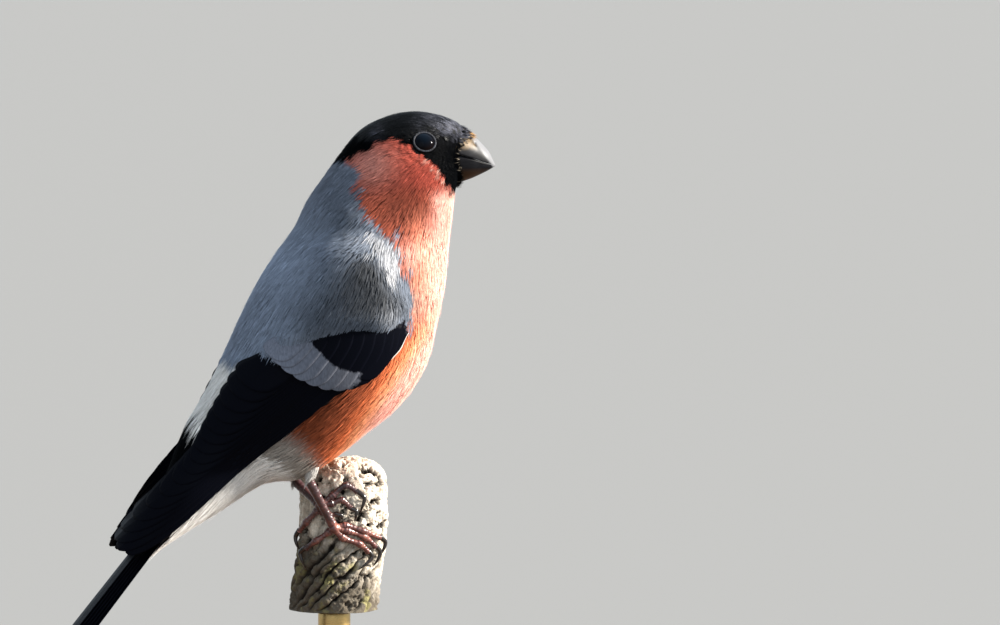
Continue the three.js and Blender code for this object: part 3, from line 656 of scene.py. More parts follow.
# Spots on the breast: a dusty rose tone, and pale cream that is painted sunlight
BREAST_SPOTS = [(DUSTY_ROSE, 0.8, 26.8, 86, 2.6), (SUNLIT_CREAM, 0.7, 27.0, 95.2, 1.9)]
BROAD_SHADE_DEPTH = 0.82
DARKEST_SHADE = 0.92

# Places along the table of sections where the colours of the back end change
GREY_END = 15.4
RUMP_START = 14.6
OVER_TAIL_START = 18.0
UNDER_TAIL_START = 17.2
BACK_ANGLE = 1.45


def near(u, z, x0, z0, radius):
    return np.exp(-((u - x0) ** 2 + (z - z0) ** 2) / (2 * radius * radius))


def blend_to(colour, tone, share):
    """Colours moved towards a tone, each by its own share"""
    return mix(colour, tone, share[:, None])


def spots_at(spots, u, z):
    return sum(share * near(u, z, *spot) for share, *spot in spots)


def tinted(colour, spots, u, z):
    for tone, share, *spot in spots:
        colour = blend_to(colour, tone, share * near(u, z, *spot))
    return colour


def red_of(u, z):
    """Cheek, throat, breast and flank, all paler towards the front. The pale cream at the front is
    painted sunlight, the dark red low on the cheek is painted shade, and the flank's deeper red
    towards the back is partly its own colour and partly painted shade.
    """
    red = blend_to(CHEEK, THROAT, smoothstep(z, 111, 104))
    red = tinted(red, CHEEK_SPOTS, u, z)
    breast = smoothstep(u, 24.5, 31.0) * smoothstep(z, 106.5, 98)
    chin = smoothstep(u, 29.5, 33.2) * smoothstep(z, 109.5, 106.0)
    # Painted sunlight: the breast and chin turn pale cream towards the front
    sunny = blend_to(BREAST, SUNLIT_CREAM, smoothstep(u, 27.5, 33.0))
    red = blend_to(red, sunny, np.maximum(breast, chin))
    # Flank: partly painted shade towards the back and painted sunlight at the front
    reach = u - (z - 60) * 0.66
    flank = np.stack([np.interp(reach, FLANK_REACH, tone) for tone in FLANK.T], -1)
    red = blend_to(red, flank, smoothstep(z, 86, 74))
    return tinted(red, BREAST_SPOTS, u, z)


def grey_of(u, z, ragged):
    """Nape, mantle and shoulder, darkened in the middle by painted shade, with a painted rim light
    along the back and a pale patch of painted sunlight at the bend of the wing
    """
    slate = blend_to(SLATE, NAPE, smoothstep(z, 100, 110))
    # Painted shade, deepest in the middle of the shoulder
    painted_shade = BROAD_SHADE_DEPTH * np.minimum(1, spots_at(BROAD_SHADE_SPOTS, u, z)) + spots_at(SHADE_SPOTS, u, z)
    # Painted rim light along the edge of the back
    light = 0.36 * near(u, z, 1, 93, 4)
    slate = slate * (1 - np.minimum(DARKEST_SHADE, painted_shade) + light)[:, None]
    # Painted sunlight at the bend of the wing, with a small second spot below it
    patch = smoothstep(inside(SUNLIT_PATCH, u, z) + ragged * 0.5, -0.5, 1.3)
    patch = np.maximum(0.75 * patch, 0.3 * near(u, z, 22.4, 82.6, 1.5))
    return blend_to(slate, SUNLIT_GREY, patch)


def markings(row, column, ragged):
    """Coat number and colour at places of the body"""
    u, z = marking_place(row, column)
    at = section_at(row)
    angle = np.abs(angle_at(column))
    coat = np.full(u.shape, RED_COAT)
    colour = red_of(u, z)

    def lay(where, kind, tone):
        coat[where] = kind
        return np.where(where[:, None], tone, colour)

    white = inside(WHITE_EDGE, u, z)
    fade = smoothstep(white, -3.4, 1.2)
    colour = blend_to(colour, VENT, fade)
    colour = blend_to(colour, WHITE, smoothstep(white, 3.5, 8))
    coat[fade > 0.5] = WHITE_COAT

    grey = inside(GREY, u, z) + ragged * 0.8
    is_grey = ((grey > 0) | ((u < 13.4) & (z > 100))) & (at < GREY_END)
    colour = lay(is_grey, GREY_COAT, grey_of(u, z, ragged))

    on_back = 1 - smoothstep(angle, 0.9, 1.3) > 0.35
    colour = lay((at + ragged * 0.3 > RUMP_START) & on_back & ~is_grey, WHITE_COAT, WHITE)
    over_tail = (at + ragged * 0.3 > OVER_TAIL_START) & (angle < BACK_ANGLE)
    colour = lay(over_tail, BLACK_COAT, BLACK)
    colour = lay((at > UNDER_TAIL_START) & ~over_tail, WHITE_COAT, WHITE)

    cap = inside(CAP, u, z) + ragged * 0.28
    # Painted highlight on the black forehead and crown
    gleam = np.clip(spots_at(SHEEN_SPOTS, u, z) * (0.55 + 0.75 * ragged), 0, 1)
    fringe = smoothstep(cap, -0.75, -0.3) * smoothstep(u, 26.5, 28.5) * smoothstep(z, 115.5, 114)
    colour = blend_to(colour, PALE_FRINGE, fringe * smoothstep(ragged, -0.5, 0.6))
    colour = lay(cap > 0, BLACK_COAT, blend_to(BLACK, SHEEN, gleam))
    crown = z > mix(CROWN_LINE, 120.8, smoothstep(u, 27, 33)) + ragged * 0.9
    coat[(cap > 0) & crown] = CROWN_COAT
    return coat, colour


# Lie of the feathers in the side view: a place, and the way that feathers point there
LIE = [
    (38.2, 118.5, -1, 0.5), (34.7, 122.7, -1, 0.35), (32.7, 123.9, -1, 0.1), (24.5, 123.9, -1, -0.2),
    (18.4, 121.8, -1, -0.65), (13.3, 116.1, -0.8, -1), (36.5, 116.0, -1, 0.0),
    (37.0, 111.5, -0.9, -0.7), (34.7, 118.2, -1, 0.1), (31.0, 120.6, -1, 0.0),
    (24.5, 118.2, -1, -0.25), (20.4, 116.1, -1, -0.4), (24.5, 113.0, -1, -0.42),
    (24.5, 110.0, -0.9, -0.6), (30.6, 113.1, -0.8, -0.7), (28.6, 105.9, -0.5, -1),
    (35.7, 110.0, -0.5, -1), (32.7, 103.9, -0.25, -1), (18.4, 105.9, -0.7, -0.8),
    (11.0, 108.0, -0.6, -0.95), (6.1, 99.8, -0.5, -0.95), (-2.0, 87.6, -0.42, -0.95),
    (2.0, 79.4, -0.45, -1), (-9.0, 78.0, -0.45, -1), (15.0, 92.0, -0.4, -1), (23.5, 93.7, -0.2, -1),
    (25.5, 84.0, -0.3, -1), (30.6, 93.7, -0.12, -1), (33.0, 86.0, -0.2, -1), (30.6, 79.4, -0.4, -0.95),
    (24.5, 68.0, -0.75, -0.75), (14.3, 57.5, -0.88, -0.5), (14.3, 65.1, -0.8, -0.62),
    (4.1, 51.5, -0.95, -0.3), (-6.0, 55.0, -0.75, -0.7), (-16.0, 66.0, -0.55, -0.9),
    (-20.0, 50.0, -0.63, -0.78), (-33.0, 32.0, -0.63, -0.78),
]


def lie_of(row, column):
    """Unit vectors that the feathers follow, laid on the surface"""
    u, z = marking_place(row, column)
    total = np.zeros((len(u), 2))
    for x0, z0, du, dz in LIE:
        weight = 1 / (((u - x0) ** 2 + (z - z0) ** 2) ** 1.25 + 0.5)
        total += weight[:, None] * np.array([du, dz]) / math.hypot(du, dz)
    angle = angle_at(column)
    across = np.sin(angle) * math.sin(CAMERA_AZIMUTH)
    lie = np.stack([total[:, 0], -total[:, 0] * across, total[:, 1]], -1)
    normal = body.read(body.normals, row, column)
    lie -= normal * (lie * normal).sum(-1, keepdims=True)
    return unit(lie)


# Tufts: each small feather is a few tapered barbs that spread from one root.
TUFT_LIMIT = 19000
BARB_FACES = np.array([
    (0, 3, 4), (0, 4, 1), (1, 4, 5), (1, 5, 2), (0, 2, 5), (0, 5, 3), (0, 1, 2),
    (3, 6, 4), (4, 6, 5), (5, 6, 3),
])
BARB_RIMS = (3, 36, 14, 46)
BARB_POINTS = 7
PATCH = 0.003
PATCH_EDGE = 0.02
PATCH_SPAN = 0.96
FEATHER_COUNT = 60000
DOWN_COUNT = 3000
BRISTLE_COUNT = 2600
BRISTLE_ROWS = 30
STRAY_SHARE = 0.03
PALE_BARB_SHARE = 0.06
# Share of the length, spread and bend of a barb at its root, middle and tip
BARB_RINGS = ((0.0, 0.45, 0.0), (0.52, 0.95, 1.0), (1.0, 1.0, 0.35))
# Tone of a barb's points from root to tip: darker at the root, partly their own greyer bases and
# partly painted shade deep in the coat, and a little paler at the tip
BARB_SHADES = np.array([0.86, 0.86, 0.86, 1.0, 1.0, 1.0, 1.06])
BARB_PATCH = [(-0.25, -1), (0.25, -1), (0, -1), (-0.25, 0), (0.25, 0), (0, 0), (0, 1)]


def patch_places(surface, row, column):
    """Places of the tufts on the OFBake map"""
    round_share = np.mod(column, surface.count) / surface.count
    return {
        "patch_u": PATCH_EDGE + PATCH_SPAN * round_share,
        "patch_v": PATCH_EDGE + PATCH_SPAN * row / (len(surface.places) - 1),
    }


def barbs(surface, tufts):
    """Points, colours and patch places of all barbs. tufts holds one array for each quality"""
    count = tufts["barbs"]
    owner = np.repeat(np.arange(len(count)), count)
    first = np.repeat(np.cumsum(count) - count, count)
    number = np.arange(len(owner)) - first
    t = {key: value[owner] for key, value in tufts.items()}
    total = len(owner)
    spread = 2 * (number + 0.5) / t["barbs"] - 1 + RANDOM.normal(0, 0.12, total)
    length = t["length"] * (1 - 0.28 * spread**2) * RANDOM.uniform(0.82, 1.12, total)
    curl = RANDOM.normal(0, 0.05, total) * t["length"]
    normal = surface.read(surface.normals, t["row"], t["column"])
    lie = t["lie"]
    side = np.cross(lie, normal)
    row_a, column_a = surface.steps(t["row"], t["column"], lie)
    row_b, column_b = surface.steps(t["row"], t["column"], side)
    root_place = surface.place(t["row"], t["column"])
    rings = []
    stray = (RANDOM.random(total) < STRAY_SHARE) * RANDOM.uniform(0.1, 0.45, total)
    arch = 0.045 * (1 - spread**2) * t["width"]
    lift = t["lift"] * RANDOM.uniform(0.7, 1.25, total) + arch + stray * t["length"] * 0.2
    for share, fan, bend in BARB_RINGS:
        forth = length * share
        aside = spread * t["width"] / 2 * fan + curl * bend
        row = t["row"] + row_a * forth + row_b * aside
        column = t["column"] + column_a * forth + column_b * aside
        height = -t["depth"] + (t["depth"] + lift) * share**0.75
        up = surface.read(surface.normals, row, column)
        place = surface.place(row, column)
        if "ahead" in t:
            up = t["ahead_up"]
            place = root_place + t["ahead"] * forth[:, None] + side * aside[:, None]
        rings.append((place + up * height[:, None], up))
    half = t["barb"][:, None] / 2
    (root, root_up), (middle, middle_up), (tip, _) = rings
    points = np.stack([
        root - side * half, root + side * half, root + root_up * half * 0.35,
        middle - side * half * 0.85, middle + side * half * 0.85, middle + middle_up * half * 0.3,
        tip,
    ], 1)
    shade = RANDOM.normal(1, 0.11, total)
    shade = shade * np.where(RANDOM.random(total) < PALE_BARB_SHARE, 1.4, 0.98)
    shades = shade[:, None, None] * BARB_SHADES[None, :, None]
    colours = np.clip(t["colour"][:, None, :] * shades, 0.0003, 0.95)
    middles = np.stack([t["patch_u"] + spread * PATCH / 2, t["patch_v"]], -1)
    patches = middles[:, None, :] + np.array(BARB_PATCH)[None] * PATCH / 2
    return points, colours, patches


def coat_pieces(name, surface, tufts, made):
    """Splits one coat into pieces that stay small enough to keep all their detail"""
    total = int(tufts["barbs"].sum())
    shares = max(1, math.ceil(total / TUFT_LIMIT))
    order = np.argsort(-tufts["row"], kind="stable")
    running = np.cumsum(tufts["barbs"][order])
    group = np.minimum((running - 1) * shares // total, shares - 1)
    for index in range(shares):
        chosen = order[group == index]
        part = {key: value[chosen] for key, value in tufts.items()}
        points, colours, patches = barbs(surface, part)
        firsts = BARB_POINTS * np.arange(len(points))[:, None, None]
        piece = mesh_of_triangles(
            f"{name}_{index + 1}", points.reshape(-1, 3), (BARB_FACES[None] + firsts).reshape(-1, 3),
            colours.reshape(-1, 3), patches.reshape(-1, 2))
        finish_piece(piece, made)


def tree_of(points):
    """Tree that finds the nearest of many points"""
    tree = KDTree(len(points))
    for i, point in enumerate(points):
        tree.insert(point, i)
    tree.balance()
    return tree


def scattered(surface, spacing_of, candidates):
    """Places spread evenly over a surface, as far apart as spacing_of(row, column) says"""
    area = np.linalg.norm(np.cross(surface.d_along, surface.d_round), axis=-1)[:, :-1]
    rows, columns = np.meshgrid(
        np.arange(area.shape[0]), np.arange(area.shape[1]), indexing="ij")
    rows = rows.ravel()
    columns = columns.ravel()
    spacing = spacing_of(rows.astype(float), columns.astype(float))
    weight = area.ravel() / spacing**2
    chosen = RANDOM.choice(len(weight), candidates, p=weight / weight.sum())
    row = rows[chosen] + RANDOM.random(candidates)
    column = columns[chosen] + RANDOM.random(candidates)
    gap = spacing[chosen]
    points = surface.place(row, column)
    tree = tree_of(points)
    crowded = np.zeros(candidates, bool)
    kept = []
    for i in range(candidates):
        if crowded[i]:
            continue
        kept.append(i)
        for _, other, _ in tree.find_range(points[i], gap[i]):
            crowded[other] = True
    return row[kept], column[kept], gap[kept]


EYE_PLACES = []
for node in ("eye_right", "eye_left"):
    low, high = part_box(node)
    EYE_PLACES.append(((np.array(low) + np.array(high)) / 2 / MM, (high.x - low.x) / 2 / MM))
LID_RADIUS = 2.16
LID_ROUND = 0.17


def eye_axes():
    axes = []
    for centre, _ in EYE_PLACES:
        distance = np.linalg.norm(body.points - centre, axis=-1)
        i, j = np.unravel_index(np.argmin(distance), distance.shape)
        axes.append(body.normals[i, j])
    return axes


EYE_AXES = eye_axes()


def eye_distance(points):
    """Distance in mm from the nearer eye's axis"""
    nearest = np.full(len(points), 1e9)
    for (centre, _), axis in zip(EYE_PLACES, EYE_AXES):
        offset = points - centre
        along = (offset * axis).sum(-1)
        away = np.linalg.norm(offset - along[:, None] * axis, axis=-1)
        nearest = np.minimum(nearest, np.where(along > 0, away, 1e9))
    return nearest


def body_spacing(row, column):
    u, z = marking_place(row, column)
    at = section_at(row)
    head = 1 - smoothstep(at, 3.0, 10.0)
    face = np.exp(-((u - 35.5) ** 2 + (z - 115) ** 2) / 55)
    return mix(1.0, 0.60, head) * mix(1, 0.66, face)


def grow_body():
    row, column, gap = scattered(body, body_spacing, FEATHER_COUNT)
    u, z = marking_place(row, column)
    eye = eye_distance(body.place(row, column))
    keep = (inside(FLIGHT_ZONE, u, z) < 0.9) & (eye > LID_RADIUS + 0.12)
    row, column, gap, u, z, eye = (a[keep] for a in (row, column, gap, u, z, eye))
    count = len(row)
    at = section_at(row)
    length = mix(3.4, 4.8, smoothstep(at, 6.0, 11.0))
    face = np.exp(-((u - 36) ** 2 + (z - 115) ** 2) / 40)
    length = length * mix(1, 0.36, face) * mix(0.45, 1, smoothstep(eye, 2.2, 5.0))
    length = np.where(at > 17.5, length * 1.35, length)
    lie = lie_of(row, column)
    row_step, column_step = body.steps(row, column, lie)
    shown = 0.65 * length
    coat, colour = markings(
        row + row_step * shown, column + column_step * shown, RANDOM.normal(0, 1, count))
    width = gap * 2.3
    barb = mix(0.125, 0.24, smoothstep(at, 4.0, 11.0))
    colour = colour * RANDOM.normal(1, 0.07, count)[:, None]
    full = smoothstep(at, 3.5, 11.0)
    tufts = {
        "row": row,
        "column": column,
        "lie": lie,
        "length": length,
        "width": width,
        "barb": barb * RANDOM.uniform(0.85, 1.15, count),
        "barbs": np.clip(np.round(width / barb * 1.15), 5, 12).astype(int),
        "depth": np.minimum(mix(0.32, 0.5, full), 0.14 * length),
        "lift": np.minimum(mix(0.06, 0.14, full), 0.04 * length),
        "colour": colour,
        **patch_places(body, row, column),
    }
    for number, name in enumerate(COATS):
        chosen = coat == number
        part = {key: value[chosen] for key, value in tufts.items()}
        coat_pieces(f"coat_{name}", body, part, PLUMAGES[number])


def grow_bristles():
    """Short bristles that lean forward over the base of the bill"""
    count = BRISTLE_COUNT
    row = BRISTLE_ROWS * RANDOM.random(count) ** 1.1
    column = RANDOM.uniform(0, body.count, count)
    angle = angle_at(column)
    brow = smoothstep(np.abs(angle), 1.1, 0.3)
    chin = smoothstep(np.abs(angle), 2.2, 2.9)
    side_of_head = np.sign(body.place(row, column)[:, 1] + 1.5)
    inward = -0.55 * side_of_head * np.abs(np.sin(angle))
    forward = np.stack([np.ones(count), inward, -0.08 - 0.62 * np.cos(angle)], -1)
    normal = body.read(body.normals, row, column)
    ahead = unit(unit(forward) + RANDOM.normal(0, 0.13, (count, 3)))
    front = smoothstep(row, 12, 2)
    length = RANDOM.uniform(0.7, 1.5, count) * mix(0.7, 1, front) * (1 + 0.9 * brow + 0.5 * chin)
    golden = (RANDOM.random(count) < 0.8 * brow**2 * front)[:, None]
    lore = smoothstep(np.abs(angle), 0.5, 1.0) * smoothstep(np.abs(angle), 2.4, 1.6)
    fair = (RANDOM.random(count) < 0.015 + 0.2 * lore + 0.35 * chin * front)[:, None]
    # Painted sheen on the bristles over the brow
    painted_sheen = (RANDOM.random(count) < 0.35 * smoothstep(np.abs(angle), 1.3, 0.7))[:, None]
    colour = np.where(painted_sheen, SHEEN, BLACK)
    colour = np.where(golden, BRISTLE, colour)
    sunlit = mix(0.4, 1, smoothstep(row, 1, 7))[:, None]
    colour = np.where(fair, FAIR_BRISTLE * RANDOM.uniform(0.1, 0.8, (count, 1)) * sunlit, colour)
    tufts = {
        "row": row,
        "column": column,
        "lie": np.cross(normal, unit(np.cross(ahead, normal))),
        "ahead": ahead,
        "ahead_up": normal,
        "length": length,
        "width": np.where(fair[:, 0], 0.22, 0.45),
        "barb": np.full(count, 0.07),
        "barbs": np.full(count, 3),
        "depth": np.full(count, 0.3),
        "lift": RANDOM.uniform(0.05, 0.3, count),
        "colour": colour,
        **patch_places(body, row, column),
    }
    coat_pieces("bristles", body, tufts, BLACK_PLUMAGE)


def skin():
    """Skin under the coat, marked as the feathers over it are"""
    piece = shaped_ball("skin", 144, 190, lining(body, 0.012, 0.55))
    sampled = body.points[::2, :-1:2].reshape(-1, 3)
    grid_rows, grid_columns = np.meshgrid(
        np.arange(0, len(body.places), 2), np.arange(0, body.count, 2), indexing="ij")
    tree = tree_of(sampled)
    nearest = np.array([tree.find(point)[1] for point in read_points(piece) / MM])
    row = grid_rows.ravel()[nearest].astype(float)
    column = grid_columns.ravel()[nearest].astype(float)
    _, colour = markings(row, column, np.zeros(len(row)))
    u, z = marking_place(row, column)
    colour = np.where((inside(FLIGHT_ZONE, u, z) > 0)[:, None], BLACK, colour) * 0.85
    paint(piece.data, "plumage", colour)
    finish_piece(piece, plumage("skin_down", 0.9), ("head", "neck", "torso"))


# Large feathers of the wings and the tail

def section_through(sections, x, z, low, high):
    """Place of the section whose plane holds each point of the side view"""
    def side(at):
        cut = spline_rows(sections, at)
        return ((cut[..., 0] - cut[..., 2]) * (z - cut[..., 3])
                - (cut[..., 1] - cut[..., 3]) * (x - cut[..., 2]))

    low = np.full(np.shape(x), float(low))
    high = np.full(np.shape(x), float(high))
    low_side = side(low)
    for _ in range(26):
        middle = (low + high) / 2
        same = side(middle) * low_side > 0
        low = np.where(same, middle, low)
        high = np.where(same, high, middle)
    return (low + high) / 2


def deck_depth(x, z):
    """Half width of the body, and past it of the deck, at points of the side view"""
    at = section_through(DECK_SECTIONS, x, z, SHOULDER - 4, len(DECK_SECTIONS) - 1)
    cut = spline_rows(DECK_SECTIONS, at)
    dx = cut[..., 0] - cut[..., 2]
    dz = cut[..., 1] - cut[..., 3]
    share = ((x - cut[..., 2]) * dx + (z - cut[..., 3]) * dz) / (dx * dx + dz * dz)
    high = np.clip(2 * share - 1, -1, 1)
    return (1 - high * high) ** (FLATNESS / 2) * cut[..., 4] * (1 + cut[..., 5] * high)


def wing_points(x, z, lift):
    """Points of the right wing over places of the side view, lifted off the body"""
    step = 0.2
    slope_x = (deck_depth(x + step, z) - deck_depth(x - step, z)) / (2 * step)
    slope_z = (deck_depth(x, z + step) - deck_depth(x, z - step)) / (2 * step)
    out = unit(np.stack([-slope_x, np.ones_like(slope_x), -slope_z], -1))
    left = np.stack([x, deck_depth(x, z), z], -1) + out * lift[..., None]
    return left * (1, -1, 1)


VANE_ACROSS = np.array([-1, -0.82, -0.5, -0.16, -0.05, 0.03, 0.11, 0.42, 0.8, 1.0])
VANE_SHAFT = 0.03
VANE_ALONG = 20
VANE_THICKNESS = 0.13
VANE_TILT = 0.13


def vane_outline(f, blunt):
    root = 0.45 + 0.55 * smoothstep(f, 0, 0.4)
    return root * np.sqrt(np.clip(1 - np.clip((f - blunt) / (1.001 - blunt), 0, 1) ** 2.6, 0, 1))


def vane_grid():
    across, along = np.meshgrid(VANE_ACROSS, np.linspace(0, 1, VANE_ALONG), indexing="ij")
    return across, 1 - (1 - along) ** 1.5


def vane_faces():
    """Triangles of a closed thin sheet over the grid, alike on both faces"""
    rows = len(VANE_ACROSS)
    index = np.arange(rows * VANE_ALONG).reshape(rows, VANE_ALONG)
    a = index[:-1, :-1].ravel()
    b = index[1:, :-1].ravel()
    c = index[1:, 1:].ravel()
    d = index[:-1, 1:].ravel()
    top = np.concatenate([np.stack([a, b, c], 1), np.stack([a, c, d], 1)])
    under = top[:, ::-1] + index.size
    rim = np.concatenate([index[:, 0], index[-1, 1:], index[-2::-1, -1], index[0, -2:0:-1]])
    after = np.roll(rim, -1)
    walls = np.concatenate([
        np.stack([rim, rim + index.size, after + index.size], 1),
        np.stack([rim, after + index.size, after], 1),
    ])
    return np.concatenate([top, under, walls])


def vane_mesh(name, vanes, place_of):
    """Joined mesh of feathers. place_of(vane, across, along, raised) gives points in mm"""
    across, along = vane_grid()
    faces = vane_faces()
    ridge = 0.07 * np.exp(-((across - VANE_SHAFT) / 0.06) ** 2) * (1 - 0.7 * along)
    thin = 1 - 0.55 * np.abs(across) ** 2
    points = []
    uv = []
    marks = []
    for vane in vanes:
        for face in (1, -1):
            raised = face * VANE_THICKNESS / 2 * thin + (ridge if face > 0 else 0)
            placed = place_of(vane, across, along, raised).reshape(-1, 3)
            points.append(placed)
            uv.append(np.stack([across.ravel() * 0.5 + 0.5, along.ravel()], 1))
            bar = inside(BAR, *side_view(placed)) / 10 + 0.5 if vane.get("barred") else 0
            rim = 1 if vane.get("rimmed") else 0
            marks.append(np.stack([bar + 0 * placed[:, 0], rim + 0 * placed[:, 0]], 1))
    step = 2 * across.size
    triangles = (faces[None] + step * np.arange(len(vanes))[:, None, None]).reshape(-1, 3)
    piece = mesh_of_triangles(name, np.concatenate(points), triangles)
    layer = piece.data.uv_layers.new(name="Vane")
    layer.data.foreach_set("uv", np.concatenate(uv)[triangles.ravel()].astype(np.float32).ravel())
    paint(piece.data, "vane", np.concatenate(marks))
    nothing_selected()
    piece.select_set(True)
    bpy.context.view_layer.objects.active = piece
    face_outwards()
    return piece


# Rows of wing feathers, outermost first: lines of roots and tips in the side view
WING_ROWS = [
    {
        "count": 17,
        "roots": [(14.2, 74.6), (8.0, 77.0), (1.0, 78.0)],
        "tips": [
            (-31.8, 35.2), (-33.2, 36.0), (-32.0, 38.6), (-29.4, 41.8), (-26.2, 45.4), (-23.0, 48.8),
            (-20.2, 51.6), (-18.2, 54.4), (-16.6, 57.2), (-14.8, 60.2), (-12.8, 63.4), (-10.8, 66.8),
            (-8.6, 70.2),
        ],
        "width": (4.6, 7.4),
        "lift": ((1.5, 0.0), (1.4, 1.9)),
        "uneven": 0.0, "bow": (1.2, -0.9), "blunt": 0.72,
    },
    {
        "count": 6,
        "roots": [(19.4, 79.6), (17.6, 81.4)],
        "tips": [(6.8, 68.4), (9.8, 71.4)],
        "width": (2.8, 3.6),
        "lift": ((1.6, 2.0), (1.6, 1.9)),
        "uneven": 0.4, "bow": (-0.3, -0.5), "blunt": 0.78,
    },
    {
        "count": 10,
        "roots": [(20.0, 82.4), (12.5, 84.6), (3.0, 83.0)],
        "tips": [(12.2, 71.8), (9.6, 69.8), (6.0, 69.4), (2.2, 70.8), (-1.2, 72.9), (-3.6, 75.2)],
        "width": (4.4, 5.0),
        "lift": ((1.9, 1.2), (2.7, 2.5)),
        "uneven": 0.4, "bow": (-0.7, -0.7), "blunt": 0.78, "barred": True,
    },
    {
        "count": 3,
        "roots": [(22.2, 80.6), (21.2, 83.0)],
        "tips": [(14.9, 73.8), (15.5, 76.2)],
        "width": (2.8, 3.2),
        "lift": ((1.2, 1.5), (1.9, 2.0)),
        "uneven": 0.0, "bow": (-0.3, -0.3), "blunt": 0.78, "rimmed": True,
    },
]


def wing_vanes():
    vanes = []
    for row in WING_ROWS:
        for i in range(row["count"]):
            share = i / (row["count"] - 1)
            root = spline_rows(row["roots"], share * (len(row["roots"]) - 1))
            full = spline_rows(row["tips"], share * (len(row["tips"]) - 1))
            short = row["uneven"] * (1 + math.sin(7 * i)) / (2 * math.dist(root, full))
            vanes.append({
                "root": root,
                "tip": mix(full, root, short),
                "width": mix(*row["width"], share),
                "lift": [mix(pair[0], pair[1], share) for pair in row["lift"]],
                "bow": mix(*row["bow"], share),
                "blunt": row["blunt"],
                "barred": row.get("barred"),
                "rimmed": row.get("rimmed") and i == 0,
            })
    return vanes


def wing_vane_place(vane, across, along, raised):
    step = vane["tip"] - vane["root"]
    length = math.hypot(*step)
    aside = np.array([step[1], -step[0]]) / length
    off = across * vane["width"] / 2 * vane_outline(along, vane["blunt"])
    shift = off + vane["bow"] * np.sin(math.pi * along)
    lift = mix(vane["lift"][0], vane["lift"][1], along) - off * VANE_TILT + raised
    x = vane["root"][0] + step[0] * along + aside[0] * shift
    z = vane["root"][1] + step[1] * along + aside[1] * shift
    return wing_points(x, z, lift)


TAIL_PAIRS = 6
TAIL_VANE_WIDTH = 6.0
TAIL_NOTCH = 2.2
TAIL_ROOT_DEPTH = 9
TAIL_LAYER = 0.34


def tail_vanes():
    vanes = []
    for pair in range(TAIL_PAIRS):
        for side in (-1, 1):
            share = pair / (TAIL_PAIRS - 1)
            vanes.append({
                "side": side,
                "reach": TAIL_LENGTH - TAIL_NOTCH * (1 - share) ** 1.5,
                "aside": (side * (0.7 + 0.35 * pair), side * (1.2 + 0.92 * pair)),
                "under": TAIL_LAYER * (pair + (0.5 if side > 0 else 0)),
            })
    return vanes


def tail_vane_place(vane, across, along, raised):
    y = mix(*vane["aside"], along) + across * TAIL_VANE_WIDTH / 2 * vane_outline(along, 0.8)
    forth = mix(TAIL_ROOT_DEPTH, vane["reach"], along)
    up = raised - vane["under"] - 0.012 * y * y + 0.15
    x = TAIL_ROOT[0] + TAIL_ALONG[0] * forth + TAIL_UP[0] * up
    z = TAIL_ROOT[1] + TAIL_ALONG[1] * forth + TAIL_UP[1] * up
    return np.stack([x, y, z], -1)


def flight_material():
    """Black vanes with fine barbs, a soft grey bar on the coverts and a pale outer rim"""
    made = material("flight_feather", (0.005, 0.006, 0.01), 0.5, Specular_IOR_Level=0.02)
    nodes = Nodes(made)
    uv = nodes.tree.nodes.new("ShaderNodeUVMap")
    uv.uv_map = "Vane"
    vane = nodes.axes(uv.outputs["UV"])
    across = nodes.math("ABSOLUTE", nodes.math("SUBTRACT", vane["X"], 0.515))
    slant = nodes.past(vane["Y"], nodes.math("MULTIPLY", across, 0.35), 420)
    barb = nodes.math("MULTIPLY", nodes.math("ADD", nodes.math("SINE", slant), 1), 0.5)
    marks = nodes.tree.nodes.new("ShaderNodeSeparateColor")
    nodes.link(nodes.attribute("vane"), marks.inputs["Color"])
    ragged = nodes.past(nodes.noise(1300, 5, stretch=(1, 1, 0.6)), 0.5, 0.16)
    pale = nodes.grey_ramp(nodes.math("ADD", marks.outputs["Red"], ragged), 0.49, 0.53)
    fuzz = nodes.grey_ramp(nodes.noise(3200, 3, stretch=(1, 1, 0.35)), 0.3, 0.72, 0.72, 1.15)
    forward = nodes.past(nodes.axes()["X"], -0.002, 90)
    bar = nodes.ramp(forward, [(0.0, (0.142, 0.157, 0.20)), (1.0, (0.088, 0.093, 0.113))])
    light = nodes.blend(1.0, bar, fuzz, "MULTIPLY")
    dark = nodes.blend(barb, (0.0010, 0.0011, 0.002), (0.0022, 0.0028, 0.006))
    outer = nodes.grey_ramp(vane["X"], 0.03, 0.07, 1.0, 0.0)
    rim = nodes.math("MULTIPLY", outer, marks.outputs["Green"])
    dark = nodes.blend(rim, dark, (0.55, 0.53, 0.50))
    nodes.colour(nodes.blend(pale, dark, light))
    nodes.roughness(nodes.blend(pale, (0.4, 0.4, 0.4), (0.75, 0.75, 0.75)))
    nodes.bump(barb, 0.00004, 0.3)
    return made


def mirrored(piece, name):
    """Copy of a right piece for the left side"""
    other = bpy.data.objects.new(name, piece.data.copy())
    bpy.context.scene.collection.objects.link(other)
    move_points(other, read_points(piece) / MM * (1, -1, 1))
    other.data.flip_normals()
    return other


def make_wings_and_tail():
    feather = flight_material()
    right = vane_mesh("wing_feathers_right", wing_vanes(), wing_vane_place)
    left = mirrored(right, "wing_feathers_left")
    finish_piece(right, feather, ("wing_right",))
    finish_piece(left, feather, ("wing_left",))
    tail = vane_mesh("tail_feathers", tail_vanes(), tail_vane_place)
    finish_piece(tail, feather, ("tail",))


